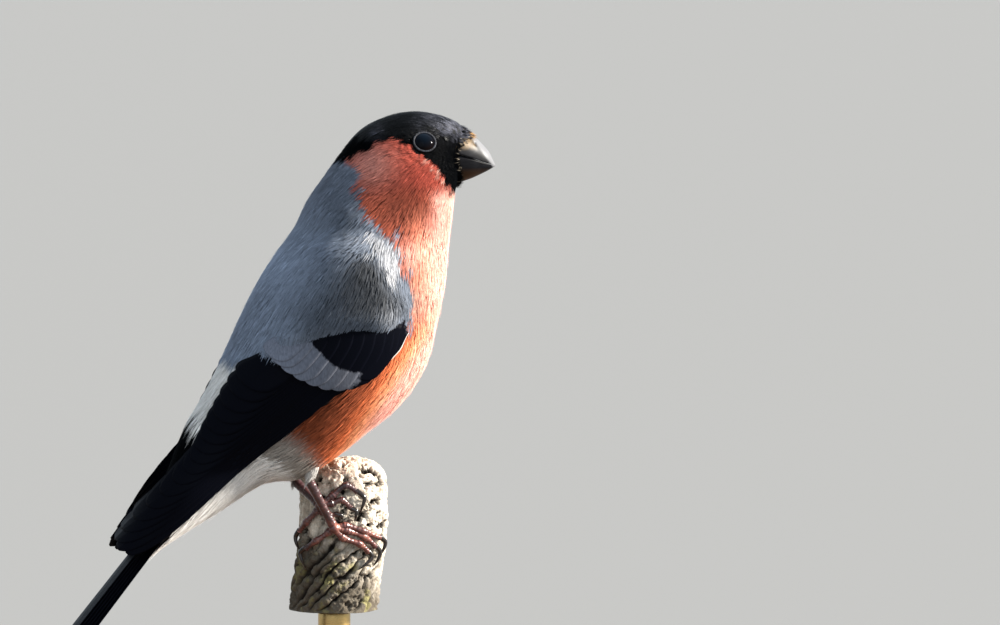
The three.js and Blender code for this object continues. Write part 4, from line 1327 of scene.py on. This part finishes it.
# Bill: rows from the face to the tip give x, top z, mouth z, bottom z, half width and lean
BILL = np.array([
    (36.5, 120.5, 115.9, 109.2, 5.9, 0.225),
    (38.4, 120.1, 115.3, 109.6, 5.3, 0.206),
    (40.6, 118.8, 114.6, 110.4, 4.2, 0.154),
    (42.1, 117.4, 114.0, 111.3, 3.0, 0.103),
    (43.4, 115.8, 113.5, 112.2, 1.85, 0.052),
    (44.5, 113.0, 113.05, 113.1, 0.0, 0.0),
])
MOUTH_GAP = 0.10
NOSTRIL = np.array([40.2, 3.1, 117.9])
NOSTRIL_SPREAD = 0.14
NOSTRIL_PIT = np.array([0.1, 0.45, 0.1])
BILL_TIP = 0.992
LOWER_BILL_WIDTH = 0.95


def bill_half(name, upper):
    def place(share, angle):
        at = np.minimum(share, BILL_TIP) * (len(BILL) - 1)
        x, top, mouth, bottom, half, lean = np.moveaxis(spline_rows(BILL, at), -1, 0)
        mouth = mouth + (MOUTH_GAP / 2 if upper else -MOUTH_GAP / 2)
        rim = top if upper else bottom
        ridge = np.clip(np.sin(angle), 0, 1) ** (0.92 if upper else 0.85)
        z = mix(mouth, rim, ridge)
        y = half * np.cos(angle) * (1 if upper else LOWER_BILL_WIDTH)
        x = x + lean * (z - BILL[1, 1])
        base = smoothstep(share, 0.0, 0.02)
        points = np.stack([x, y * base, mix((mouth + rim) / 2, z, base)], -1)
        if upper:
            for side in (-1, 1):
                away = ((points - NOSTRIL * (1, side, 1)) ** 2).sum(-1)
                dent = np.exp(-away / NOSTRIL_SPREAD)
                points = points - NOSTRIL_PIT * (1, side, 1) * dent[:, None]
        return turned(points, np.zeros(len(points)))

    return shaped_ball(name, 96, 72, place)


def bill_material(name, gloss):
    """Dark horn, brown below, with a pale painted highlight along the ridge and a golden patch at the
    top of the base, partly its own colour and partly painted sunlight
    """
    made = material(name, (0.01, 0.01, 0.011), 0.42, Specular_IOR_Level=gloss)
    nodes = Nodes(made)
    place = nodes.axes()
    streak = nodes.noise(700, 5, stretch=(0.5, 1, 1))
    horn = nodes.ramp(streak, [(0.3, (0.0022, 0.0022, 0.0028)), (0.72, (0.010, 0.010, 0.012))])
    low = nodes.past(0.1128, place["Z"], 420)
    brown = nodes.blend(nodes.grey_ramp(low, 0.0, 1.0), horn, (0.045, 0.018, 0.002))
    # Golden patch at the top of the base, partly its own colour and partly painted sunlight
    back = nodes.past(0.0402, place["X"], 600)
    high = nodes.past(place["Z"], 0.1158, 500)
    base = nodes.math("MULTIPLY", nodes.math("MINIMUM", back, high), nodes.noise(900, 2))
    # Painted highlight: the sun's reflection along the ridge, pale grey on the dark horn
    slope = nodes.math("ADD", place["Z"], nodes.math("MULTIPLY", place["X"], 1.2))
    ridge = nodes.math("MULTIPLY", slope, 1000)
    ridge = nodes.math("ADD", ridge, nodes.math("MULTIPLY", nodes.noise(420, 4), 0.9))
    painted_reflection = nodes.grey_ramp(nodes.math("SUBTRACT", ridge, 165.0), 0.2, 2.8, 0.0, 0.95)
    with_reflection = nodes.blend(painted_reflection, brown, (0.16, 0.16, 0.168))
    nodes.colour(nodes.blend(nodes.grey_ramp(base, 0.1, 0.7), with_reflection, (0.19, 0.125, 0.06)))
    nodes.roughness(nodes.grey_ramp(streak, 0.2, 0.8, 0.36, 0.50))
    nodes.bump(streak, 0.0001, 0.25)
    return made


def make_bill():
    upper = bill_material("bill_horn", 0.14)
    lower = bill_material("lower_bill_horn", 0.05)
    finish_piece(bill_half("bill_top", True), upper, ("bill_upper",))
    finish_piece(bill_half("bill_bottom", False), lower, ("bill_lower",))


def eye_material(side, centre, radius, axis, up):
    """Dark brown eye with a black pupil and a painted blue reflection of the sky high on the ball"""
    ball = material(f"eye_gloss_{side}", (0.003, 0.002, 0.002), 0.08, Specular_IOR_Level=0.03)
    nodes = Nodes(ball)

    def distance(point):
        away = nodes.tree.nodes.new("ShaderNodeVectorMath")
        away.operation = "DISTANCE"
        nodes.link(nodes.place, away.inputs[0])
        away.inputs[1].default_value = tuple(point * MM)
        return away.outputs["Value"]

    pupil = distance(centre + axis * radius)
    iris = nodes.grey_ramp(pupil, 0.00085, 0.00105)
    brown = nodes.blend(iris, (0.0006, 0.0006, 0.0009), (0.0065, 0.0030, 0.0018))
    # Painted reflection of the blue sky high on the ball
    high = distance(centre + unit(axis + up * 0.85 - np.array([0.35, 0, 0])) * radius)
    painted_reflection = nodes.grey_ramp(high, 0.0002, 0.0010, 0.85, 0.0)
    nodes.colour(nodes.blend(painted_reflection, brown, (0.0042, 0.0092, 0.017)))
    return ball


LID_FOLDS = 15
TORUS_TUBE = 0.5


def lid_material():
    made = material("eye_lid", (0.05, 0.052, 0.06), 0.7, Specular_IOR_Level=0.25)
    nodes = Nodes(made)
    nodes.colour(nodes.ramp(nodes.noise(2400, 3), [
        (0.35, (0.003, 0.003, 0.005)), (0.7, (0.034, 0.036, 0.046))]))
    return made


def lid_ring(name, centre, radius, axis, across, up):
    """Beaded ring of bare skin round an eye"""
    nothing_selected()
    bpy.ops.mesh.primitive_torus_add(
        major_segments=120, minor_segments=14, major_radius=1, minor_radius=TORUS_TUBE)
    lid = bpy.context.object
    lid.name = name
    x, y, z = read_points(lid).T
    turn = np.arctan2(y, x)
    out = (np.hypot(x, y) - 1) / TORUS_TUBE
    bead = LID_ROUND * (0.86 + 0.2 * np.abs(np.sin(LID_FOLDS * turn)))
    ring = LID_RADIUS + out * bead * 1.2
    depth = math.sqrt(radius**2 - (LID_RADIUS - LID_ROUND) ** 2) + z / TORUS_TUBE * bead * 0.9
    flat = np.outer(ring * np.cos(turn), across) * 1.03 + np.outer(ring * np.sin(turn), up)
    move_points(lid, centre + np.outer(depth, axis) + flat)
    face_outwards()
    bpy.ops.object.shade_smooth()
    return lid


def make_eyes():
    rim = lid_material()
    for side, (centre, radius), axis in zip(("right", "left"), EYE_PLACES, EYE_AXES):
        across = unit(np.cross(axis, [0, 0, 1]))
        up = np.cross(across, axis)

        def on_ball(share, angle, centre=centre, radius=radius):
            tilt = share * math.pi
            flat = np.sin(tilt)
            return centre + radius * (
                np.outer(np.cos(tilt), axis) + np.outer(flat * np.cos(angle), across)
                + np.outer(flat * np.sin(angle), up))

        eye = shaped_ball(f"eyeball_{side}", 64, 48, on_ball)
        ball = eye_material(side, centre, radius, axis, up)
        finish_piece(eye, ball, (f"eye_{side}",))
        lid = lid_ring(f"eyelid_{side}", centre, radius, axis, across, up)
        finish_piece(lid, rim)


# Perch and feet
PERCH_RADIUS = 9.0
PERCH_FOOT = np.array([12.9, 7.8, 22])
PERCH_TOP = np.array([15.6, 7.8, 53.4])
PERCH_LUMP = 0.35
PERCH_SHOULDER = 0.78
PERCH_CROWN = 0.25
PERCH_MARGIN = 0.02
VIEW_ANGLE = math.radians(-102)
TOE_RADIUS = 0.72
GAP = 0.32
PALM_REACH = 0.9
PALM_OVERLAP = 0.2
ANKLE_OVERLAP = 1.0


def perch_surface(height, angle, swell=0.0):
    height = np.asarray(height, float)
    f = (height - PERCH_FOOT[2]) / (PERCH_TOP[2] - PERCH_FOOT[2])
    axis_x = mix(PERCH_FOOT[0], PERCH_TOP[0], f)
    lump = PERCH_LUMP * (np.sin(3 * angle + 5 * f) + 0.6 * np.sin(5 * angle - 9 * f + 1))
    past = np.maximum(0, (f - PERCH_SHOULDER) / (1 - PERCH_SHOULDER))
    rounded = np.sqrt(np.maximum(0, 1 - past**2.4))
    radius = (PERCH_RADIUS + lump) * mix(PERCH_CROWN, 1, rounded) + swell
    return np.stack([
        axis_x + np.cos(angle) * radius,
        PERCH_FOOT[1] + np.sin(angle) * radius,
        height + 0 * angle,
    ], -1)


LEGS = {
    "right": {
        "thigh": [(7.6, -5.4, 57), (6.5, -5.45, 53.4), (5.05, -5.4, 49.8)],
        "ankle": (5.7, -5.0, 48.8),
        "palm": (-7, 39.6),
        "toes": [
            ([(-13, 38.8), (-28, 36.9), (-43, 35.2)], [(-49, 34.4), (-45, 31.0)]),
            ([(6, 40.0), (30, 38.8), (58, 37.2)], [(64, 36.4), (64, 33.4)]),
            ([(8, 39.0), (32, 37.6), (52, 35.4)], [(57, 34.4), (54, 31.4)]),
            ([(4, 37.6), (26, 36.2), (41, 34.4)], [(45, 33.5), (30, 30.9)]),
        ],
    },
    "left": {
        "thigh": [(4.6, 5.0, 57), (4.2, 4.6, 53.2), (3.75, 4.3, 49.0)],
        "ankle": (4.6, 3.5, 48.3),
        "palm": (-25, 44.2),
        "toes": [
            ([(-30, 43.0), (-43, 40.6), (-55, 38.6)], [(-59, 37.6), (-57, 34.4)]),
            ([(-13, 46.2), (2, 48.2), (18, 46.8)], [(25, 45.8), (24, 42.4)]),
            ([(-13, 44.6), (-1, 45.2), (12, 43.5)], [(17, 43.0), (18, 40.7)]),
            ([(-23, 42.8), (-14, 42.2), (-6, 42.4)], [(-1, 42.2), (2, 41.2)]),
        ],
    },
}


def on_perch(place, lift):
    degrees, height = place
    return perch_surface(height, VIEW_ANGLE + math.radians(degrees), lift)


# Rounded end of a tube, as a share of its length
TUBE_END = 0.05


def tube(name, path, radii, around, along, scutes=0, rise=0.0):
    """Round tube through points with a radius at each, ringed by scutes where asked"""
    path = np.array(path, float)
    radii = np.array(radii, float)[:, None]

    def place(share, angle):
        f = share * (len(path) - 1)
        centre = spline_rows(path, f)
        ahead = unit(spline_rows(path, np.minimum(f + 0.02, len(path) - 1))
                     - spline_rows(path, np.maximum(f - 0.02, 0)))
        aside, across = sides_of(ahead)
        radius = spline_rows(radii, share * (len(radii) - 1))[:, 0]
        from_end = np.clip(np.minimum(share, 1 - share) / TUBE_END, 0, 1)
        radius = radius * np.sqrt(1 - (1 - from_end) ** 2)
        if scutes:
            wave = np.mod(share * scutes, 1)
            radius = radius * (1 + rise * (1 - wave) * smoothstep(wave, 0, 0.16))
        return (centre + aside * (np.cos(angle) * radius)[:, None]
                + across * (np.sin(angle) * radius)[:, None])

    return shaped_ball(name, around, along, place)


def leg_material():
    """Scaled skin, red on the foot and darker up the shank"""
    made = material("leg_scales", (0.14, 0.05, 0.04), 0.36, Coat_Weight=0.4, Coat_Roughness=0.25)
    nodes = Nodes(made)
    plates = nodes.cells(1500, stretch=(1, 1, 1.6))
    blotch = nodes.noise(380, 4)
    foot = nodes.ramp(blotch, [
        (0.34, (0.045, 0.014, 0.014)), (0.5, (0.15, 0.042, 0.032)), (0.68, (0.34, 0.13, 0.09))])
    shank = nodes.ramp(blotch, [(0.34, (0.016, 0.007, 0.010)), (0.66, (0.075, 0.028, 0.032))])
    high = nodes.grey_ramp(nodes.math("MULTIPLY", nodes.axes()["Z"], 20), 0.80, 0.96, 0.0, 0.9)
    hide = nodes.blend(high, foot, shank)
    seams = nodes.grey_ramp(plates, 0.25, 0.7, 0.0, 0.5)
    nodes.colour(nodes.blend(seams, hide, (0.02, 0.008, 0.008)))
    nodes.bump(plates, 0.00012, 0.5)
    return made


THIGH_RADII = np.array([1.6, 1.55, 1.3, 0.95])[:, None]
THIGH_ROWS = 60
THIGH_COLUMNS = 64
SHANK_RADII = [0.95, 0.92, 0.84, 0.82, 0.98]
PALM_RADII = [0.75, 1.1, 1.1, 0.8]
TOE_RADII = [0.98, 0.70, 0.60, 0.80, 0.56, 0.52, 0.72, 0.50, 0.48, 0.66]
NAIL_RADII = [0.54, 0.51, 0.40, 0.26, 0.07]


def sides_of(ahead):
    """Two directions across a path, square to it and to each other"""
    aside = unit(np.cross(np.broadcast_to([0.0, 1.0, 0.0], ahead.shape), ahead))
    return aside, np.cross(ahead, aside)


def thigh_surface(path):
    places = np.linspace(0, 1, THIGH_ROWS)
    angles = np.linspace(-math.pi, math.pi, THIGH_COLUMNS + 1)
    share, angle = np.meshgrid(places, angles, indexing="ij")
    centre = spline_rows(path, share * (len(path) - 1))
    aside, across = sides_of(unit(np.gradient(centre, axis=0)))
    taper = mix(1, 0.62, smoothstep(share, 0.86, 1))[..., None]
    radius = spline_rows(THIGH_RADII, share * (len(THIGH_RADII) - 1)) * taper
    round_it = aside * np.cos(angle)[..., None] + across * np.sin(angle)[..., None]
    return Surface(centre + round_it * radius, places, angles)


def make_thigh(side, path):
    """Down on the thigh, with tufts on the half that shows below the body"""
    surface = thigh_surface(path)
    down = shaped_ball(f"thigh_down_{side}", 48, 40, lining(surface, 0.02, 0.4))
    wool = material(f"thigh_down_{side}", (0.26, 0.24, 0.22), 0.9)
    finish_piece(down, wool, (f"thigh_{side}",))
    row, column, gap = scattered(surface, lambda r, c: np.full(r.shape, 0.7), DOWN_COUNT)
    last = len(surface.places) - 1
    row, column, gap = (a[row > 0.5 * last] for a in (row, column, gap))
    low = row / last
    count = len(row)
    normal = surface.read(surface.normals, row, column)
    lie = surface.read(surface.d_along, row, column)
    lie = unit(lie - normal * (lie * normal).sum(-1, keepdims=True))
    white = mix(VENT, WHITE, 0.35) * np.ones((count, 1)) * RANDOM.normal(1, 0.1, count)[:, None]
    tufts = {
        "row": row,
        "column": column,
        "lie": lie,
        "length": mix(3.2, 2.0, smoothstep(low, 0.6, 1.0)) * RANDOM.uniform(0.7, 1.2, count),
        "width": gap * 2.2,
        "barb": np.full(count, 0.19),
        "barbs": np.full(count, 8),
        "depth": np.full(count, 0.4),
        "lift": np.full(count, 0.14),
        "colour": white,
        **patch_places(surface, row, column),
    }
    coat_pieces(f"coat_thigh_{side}", surface, tufts, WHITE_PLUMAGE)


def claw_material():
    made = material("claw_horn", (0.012, 0.009, 0.009), 0.22, Coat_Weight=0.3, Coat_Roughness=0.15)
    nodes = Nodes(made)
    nodes.colour(nodes.ramp(nodes.noise(1500, 3), [
        (0.3, (0.004, 0.0035, 0.0035)), (0.8, (0.028, 0.016, 0.011))]))
    return made


TOE_LIFT = TOE_RADIUS + GAP * 0.4


def make_toe(side, number, palm, ends):
    path = [palm, *(on_perch(place, TOE_LIFT) for place in ends)]
    return tube(f"toe_{side}_{number}", path, TOE_RADII, 24, 120, scutes=15, rise=0.16)


def make_nail(side, number, toe_end, root, tip):
    middle = (mix(root[0], tip[0], 0.45), mix(root[1], tip[1], 0.5))
    points = [
        on_perch(mix(np.array(toe_end), np.array(root), -0.5), TOE_LIFT + 0.02),
        on_perch(root, TOE_LIFT + 0.35),
        on_perch(middle, TOE_LIFT + 0.2),
        on_perch(tip, 0.12),
    ]
    return tube(f"nail_{side}_{number}", points, NAIL_RADII, 20, 48)


def make_legs():
    scales = leg_material()
    horn = claw_material()
    for side, leg in LEGS.items():
        make_thigh(side, leg["thigh"])
        palm = on_perch(leg["palm"], TOE_RADIUS + GAP + 0.5)
        ankle = np.array(leg["ankle"])
        down = unit(palm - ankle)
        start = ankle - down * ANKLE_OVERLAP
        end = palm - down * (PALM_REACH - PALM_OVERLAP)
        shank_path = [start, mix(start, end, 0.34), mix(start, end, 0.68), end]
        shank = tube(f"shank_{side}", shank_path, SHANK_RADII, 28, 120, scutes=9, rise=0.07)
        finish_piece(shank, scales, (f"tarsus_{side}",))
        palm_path = [palm - down * PALM_REACH, palm, palm + down * PALM_REACH]
        parts = [tube(f"palm_{side}", palm_path, PALM_RADII, 24, 24)]
        for number, (ends, (root, tip)) in enumerate(leg["toes"], 1):
            parts.append(make_toe(side, number, palm, ends))
            nail = make_nail(side, number, ends[-1], root, tip)
            finish_piece(nail, horn, (f"claw_{side}_{number}",))
        foot = joined(f"toes_{side}", parts)
        finish_piece(foot, scales, (f"foot_{side}",))


BARK_TWIST = 1.15
BARK_LEVELS = 5
BARK_SINK = 0.1
# Cracks of the bark, each with its angle round the stub, its width and its own seed
CRACKS = [
    (turn, RANDOM.uniform(0.28, 0.62), RANDOM.uniform(0, 9)) for turn in np.arange(-3.1, 3.1, 0.37)
]


def held(value):
    """Value kept between zero and one"""
    return min(1.0, max(0.0, value))


def bark(x, y, z):
    """Height of the bark over the stub in mm: long aslant fissures and a pitted top"""
    turn = math.atan2(y - PERCH_FOOT[1], x - PERCH_FOOT[0]) - BARK_TWIST * z / PERCH_RADIUS
    spot = Vector((x, y, z))
    wander = noise.noise(spot * 0.22) * 1.9 + noise.noise(spot * 0.7) * 0.7
    top = held((z - 34) / 12)
    split = 0.0
    for crack, width, start in CRACKS:
        gap = math.remainder(turn - crack, 2 * math.pi) * PERCH_RADIUS + wander
        open_here = held(0.75 + 1.6 * noise.noise(Vector((start, crack, z * 0.11))))
        split = max(split, open_here * math.exp(-((gap / width) ** 2)))
    rough = 0.0
    for level in range(BARK_LEVELS):
        scale = 0.42 * 1.95**level
        rough += noise.noise(spot * scale + Vector((level * 7.1, 0, 0))) * 0.66**level
    pits = max(0.0, -rough - 0.15) * (0.6 + 1.3 * top)
    fibre = Vector((math.cos(turn) * 7, math.sin(turn) * 7, z * 0.16))
    strands = (noise.noise(fibre) * 0.34 + noise.noise(fibre * 2.1) * 0.2) * (1 - 0.8 * top)
    foot = held((z - PERCH_FOOT[2]) / 1.5)
    deep = pits + 1.6 * split * (1 - 0.9 * top)
    return (min(0.22, rough * 0.42 + strands) - deep) * foot


def make_perch():
    def place(share, angle):
        up = np.clip((1 - share - PERCH_MARGIN) / (1 - 2 * PERCH_MARGIN), 0, 1)
        height = mix(PERCH_FOOT[2], PERCH_TOP[2], 1 - (1 - up) ** 1.35)
        points = perch_surface(height, angle)
        centre = (points + perch_surface(height, angle + math.pi)) / 2
        closed = smoothstep(np.minimum(share, 1 - share), 0, PERCH_MARGIN - CLOSING)
        return mix(centre, points, closed[:, None])

    stub = shaped_ball("stub", 300, 240, place)
    points = read_points(stub) / MM
    height = np.array([bark(*point) for point in points])
    points = points + read_points(stub, "normal") * (height - BARK_SINK)[:, None]
    points[:, 2] = np.maximum(points[:, 2], PERCH_FOOT[2])
    # Height of the bark, which the wood's colour turns into darker cracks, partly painted shade
    bark_height = stub.data.attributes.new("bark_height", "FLOAT", "POINT")
    bark_height.data.foreach_set("value", (height * 0.5 + 0.5).astype(np.float32))
    move_points(stub, points)
    finish_piece(stub, wood_material(), ("perch",))


def wood_material():
    """Grey wood, pale on top and darker down the stub and on its left side as painted shade, with
    cracks darkened partly by their own colour and partly by painted shade, and lichen
    """
    made = material("weathered_wood", (0.5, 0.45, 0.38), 0.9, Specular_IOR_Level=0.2)
    nodes = Nodes(made)
    where = nodes.axes()
    # The deep cracks are darkened, partly their own colour and partly painted shade
    crack_tone_and_shade = nodes.grey_ramp(nodes.attribute("bark_height", "Fac"), -0.02, 0.36)
    mottle = nodes.noise(620, 8, 0.7, stretch=(1, 1, 0.5))
    pale = nodes.ramp(mottle, [
        (0.32, (0.20, 0.155, 0.12)), (0.5, (0.54, 0.47, 0.38)), (0.64, (0.84, 0.77, 0.66))])
    # Painted shade: darker down the stub and on its left side
    low = nodes.past(0.040, where["Z"], 90)
    low = nodes.math("ADD", low, nodes.math("SUBTRACT", nodes.noise(260, 4), 0.5))
    shady = nodes.past(0.0135, where["X"], 70)
    low = nodes.math("ADD", low, nodes.math("MULTIPLY", shady, nodes.grey_ramp(low, -1.2, 0.2)))
    grey = nodes.blend(nodes.grey_ramp(low, 0.0, 1.0, 0.0, 0.9), pale, (0.058, 0.047, 0.032))
    patch = nodes.math("MULTIPLY", nodes.noise(230, 6), nodes.grey_ramp(low, 0.0, 0.6, 0.55, 1.0))
    lichen = nodes.grey_ramp(patch, 0.53, 0.63, 0.0, 0.6)
    crust = nodes.blend(lichen, grey, (0.26, 0.235, 0.085))
    nodes.colour(nodes.blend(crack_tone_and_shade, (0.022, 0.017, 0.013), crust))
    nodes.bump(nodes.noise(1900, 8, 0.75, stretch=(1, 1, 0.5)), 0.0005, 0.7)
    return made


# Stand: an oval turned base and a brass rod under the stub
def selected_faces(piece, chosen):
    """Selects the faces that the test picks, ready for edit mode"""
    bpy.ops.object.mode_set(mode="EDIT")
    bpy.ops.mesh.select_mode(type="FACE")
    bpy.ops.mesh.select_all(action="DESELECT")
    bpy.ops.object.mode_set(mode="OBJECT")
    for face in piece.data.polygons:
        face.select = chosen(face)
    bpy.ops.object.mode_set(mode="EDIT")


GROOVE_INSET = 0.0026
GROOVE_WIDTH = 0.0014
GROOVE_DEPTH = 0.0005
MIDDLE_INSET = 0.012
RIM_ROUND = 0.0014
SLEEVE_WALL = 0.0011
SLEEVE_ROUND = 0.0003
SLEEVE_CUT = 0.0016


def walnut_material():
    made = material("base_wood", (0.16, 0.08, 0.035), 0.5, Coat_Weight=0.15, Coat_Roughness=0.35)
    nodes = Nodes(made)
    wave = nodes.tree.nodes.new("ShaderNodeTexWave")
    wave.wave_type = "BANDS"
    wave.bands_direction = "Y"
    for socket, value in (("Scale", 60), ("Distortion", 9), ("Detail", 4), ("Detail Scale", 1.4)):
        wave.inputs[socket].default_value = value
    nodes.link(nodes.stretched((0.16, 1, 1)), wave.inputs["Vector"])
    grain = nodes.ramp(wave.outputs["Fac"], [
        (0.0, (0.10, 0.048, 0.021)), (0.55, (0.15, 0.074, 0.033)), (1.0, (0.195, 0.10, 0.046))])
    pores = nodes.grey_ramp(nodes.noise(1900, 3, stretch=(0.07, 1, 1)), 0.35, 0.55, 0.55, 1.0)
    nodes.colour(nodes.blend(1.0, grain, pores, "MULTIPLY"))
    nodes.bump(pores, 0.0001, 0.2)
    return made


def brass_material(centre):
    """Brass, brushed round the rod's own centre"""
    made = material("brushed_brass", (0.62, 0.43, 0.17), 0.3, Metallic=1.0)
    nodes = Nodes(made)
    brushed = nodes.noise(700, 4, stretch=(1, 1, 9), centre=centre)
    nodes.roughness(nodes.grey_ramp(brushed, 0.3, 0.7, 0.24, 0.42))
    nodes.colour(nodes.ramp(brushed, [(0.2, (0.50, 0.33, 0.12)), (0.8, (0.68, 0.49, 0.21))]))
    return made


def make_base():
    low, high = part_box("stand_base")
    size = high - low
    centre = (low + high) / 2
    nothing_selected()
    bpy.ops.mesh.primitive_cylinder_add(vertices=160, radius=0.5, depth=1, location=centre)
    base = bpy.context.object
    base.name = "oval_base"
    base.scale = (size.x, size.y, size.z)
    bpy.ops.object.transform_apply(location=True, rotation=True, scale=True)
    selected_faces(base, lambda face: face.normal.z > 0.9)
    bpy.ops.mesh.inset(thickness=GROOVE_INSET)
    for step in (-GROOVE_DEPTH, GROOVE_DEPTH):
        bpy.ops.mesh.inset(thickness=GROOVE_WIDTH / 2)
        bpy.ops.transform.translate(value=(0, 0, step))
    bpy.ops.mesh.inset(thickness=MIDDLE_INSET)
    bpy.ops.object.mode_set(mode="OBJECT")
    round_edges(base, "rim", RIM_ROUND, 4)
    finish_piece(base, walnut_material(), ("stand_base",))


def make_rod():
    """Rod of the solids with a brass sleeve over it, cut near both ends so that it shades evenly"""
    low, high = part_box("stand_rod")
    centre = (low + high) / 2
    radius = (high.x - low.x) / 2
    nothing_selected()
    bpy.ops.mesh.primitive_cylinder_add(
        vertices=64, radius=radius, depth=high.z - low.z, location=centre)
    rod = bpy.context.object
    rod.name = "brass_rod"
    bpy.ops.object.transform_apply(location=True, rotation=True, scale=True)
    bpy.ops.object.mode_set(mode="EDIT")
    for height in (low.z + SLEEVE_CUT, high.z - SLEEVE_CUT):
        bpy.ops.mesh.select_all(action="SELECT")
        bpy.ops.mesh.bisect(plane_co=(centre.x, centre.y, height), plane_no=(0, 0, 1))
    bpy.ops.object.mode_set(mode="OBJECT")
    selected_faces(rod, lambda face: abs(face.normal.z) < 0.5)
    bpy.ops.mesh.extrude_region_shrink_fatten(TRANSFORM_OT_shrink_fatten={"value": SLEEVE_WALL})
    bpy.ops.object.mode_set(mode="OBJECT")
    round_edges(rod, "sleeve", SLEEVE_ROUND, 3)
    finish_piece(rod, brass_material(centre), ("stand_rod",))


# Studio
def make_camera():
    data = bpy.data.cameras.new("view")
    data.lens = CAMERA_LENS
    data.sensor_width = 36
    camera = bpy.data.objects.new("view", data)
    bpy.context.scene.collection.objects.link(camera)
    back = Vector((
        math.sin(CAMERA_AZIMUTH) * math.cos(CAMERA_ELEVATION),
        -math.cos(CAMERA_AZIMUTH) * math.cos(CAMERA_ELEVATION),
        math.sin(CAMERA_ELEVATION),
    ))
    camera.location = CAMERA_TARGET + back * CAMERA_DISTANCE
    camera.rotation_mode = "QUATERNION"
    camera.rotation_quaternion = (-back).to_track_quat("-Z", "Y")
    bpy.context.scene.camera = camera


def lamp(name, kind, direction, size, power, colour):
    """Lamp on the line from the bird along a direction: a far sun or a broad near disk"""
    data = bpy.data.lights.new(name, kind)
    if kind == "SUN":
        data.angle = size
    else:
        data.shape = "DISK"
        data.size = size
    data.energy = power
    data.color = colour
    light = bpy.data.objects.new(name, data)
    bpy.context.scene.collection.objects.link(light)
    away = Vector(direction).normalized()
    light.location = Vector((0.005, 0, 0.085)) + away * 1.2
    light.rotation_mode = "QUATERNION"
    light.rotation_quaternion = away.to_track_quat("Z", "Y")


def make_studio():
    nothing_selected()
    bpy.ops.mesh.primitive_plane_add(size=40)
    floor = bpy.context.object
    floor.name = "floor"
    paper = material("floor_paper", (0.20, 0.20, 0.199), 0.95, Specular_IOR_Level=0.1)
    floor.data.materials.append(paper)
    world = bpy.data.worlds.new("studio")
    world.use_nodes = True
    world.node_tree.nodes["Background"].inputs["Color"].default_value = (0.76, 0.88, 1.0, 1)
    world.node_tree.nodes["Background"].inputs["Strength"].default_value = 0.84
    bpy.context.scene.world = world
    lamp("key", "SUN", (0.86, -0.19, 0.44), math.radians(8), 15.0, (1.0, 0.95, 0.87))
    lamp("fill", "AREA", (-0.35, -0.9, 0.45), 0.9, 2, (0.9, 0.95, 1.0))
    bpy.context.scene.view_settings.view_transform = "Standard"


make_camera()
make_studio()
skin()
grow_body()
grow_bristles()
make_wings_and_tail()
make_bill()
make_eyes()
make_legs()
make_perch()
make_base()
make_rod()
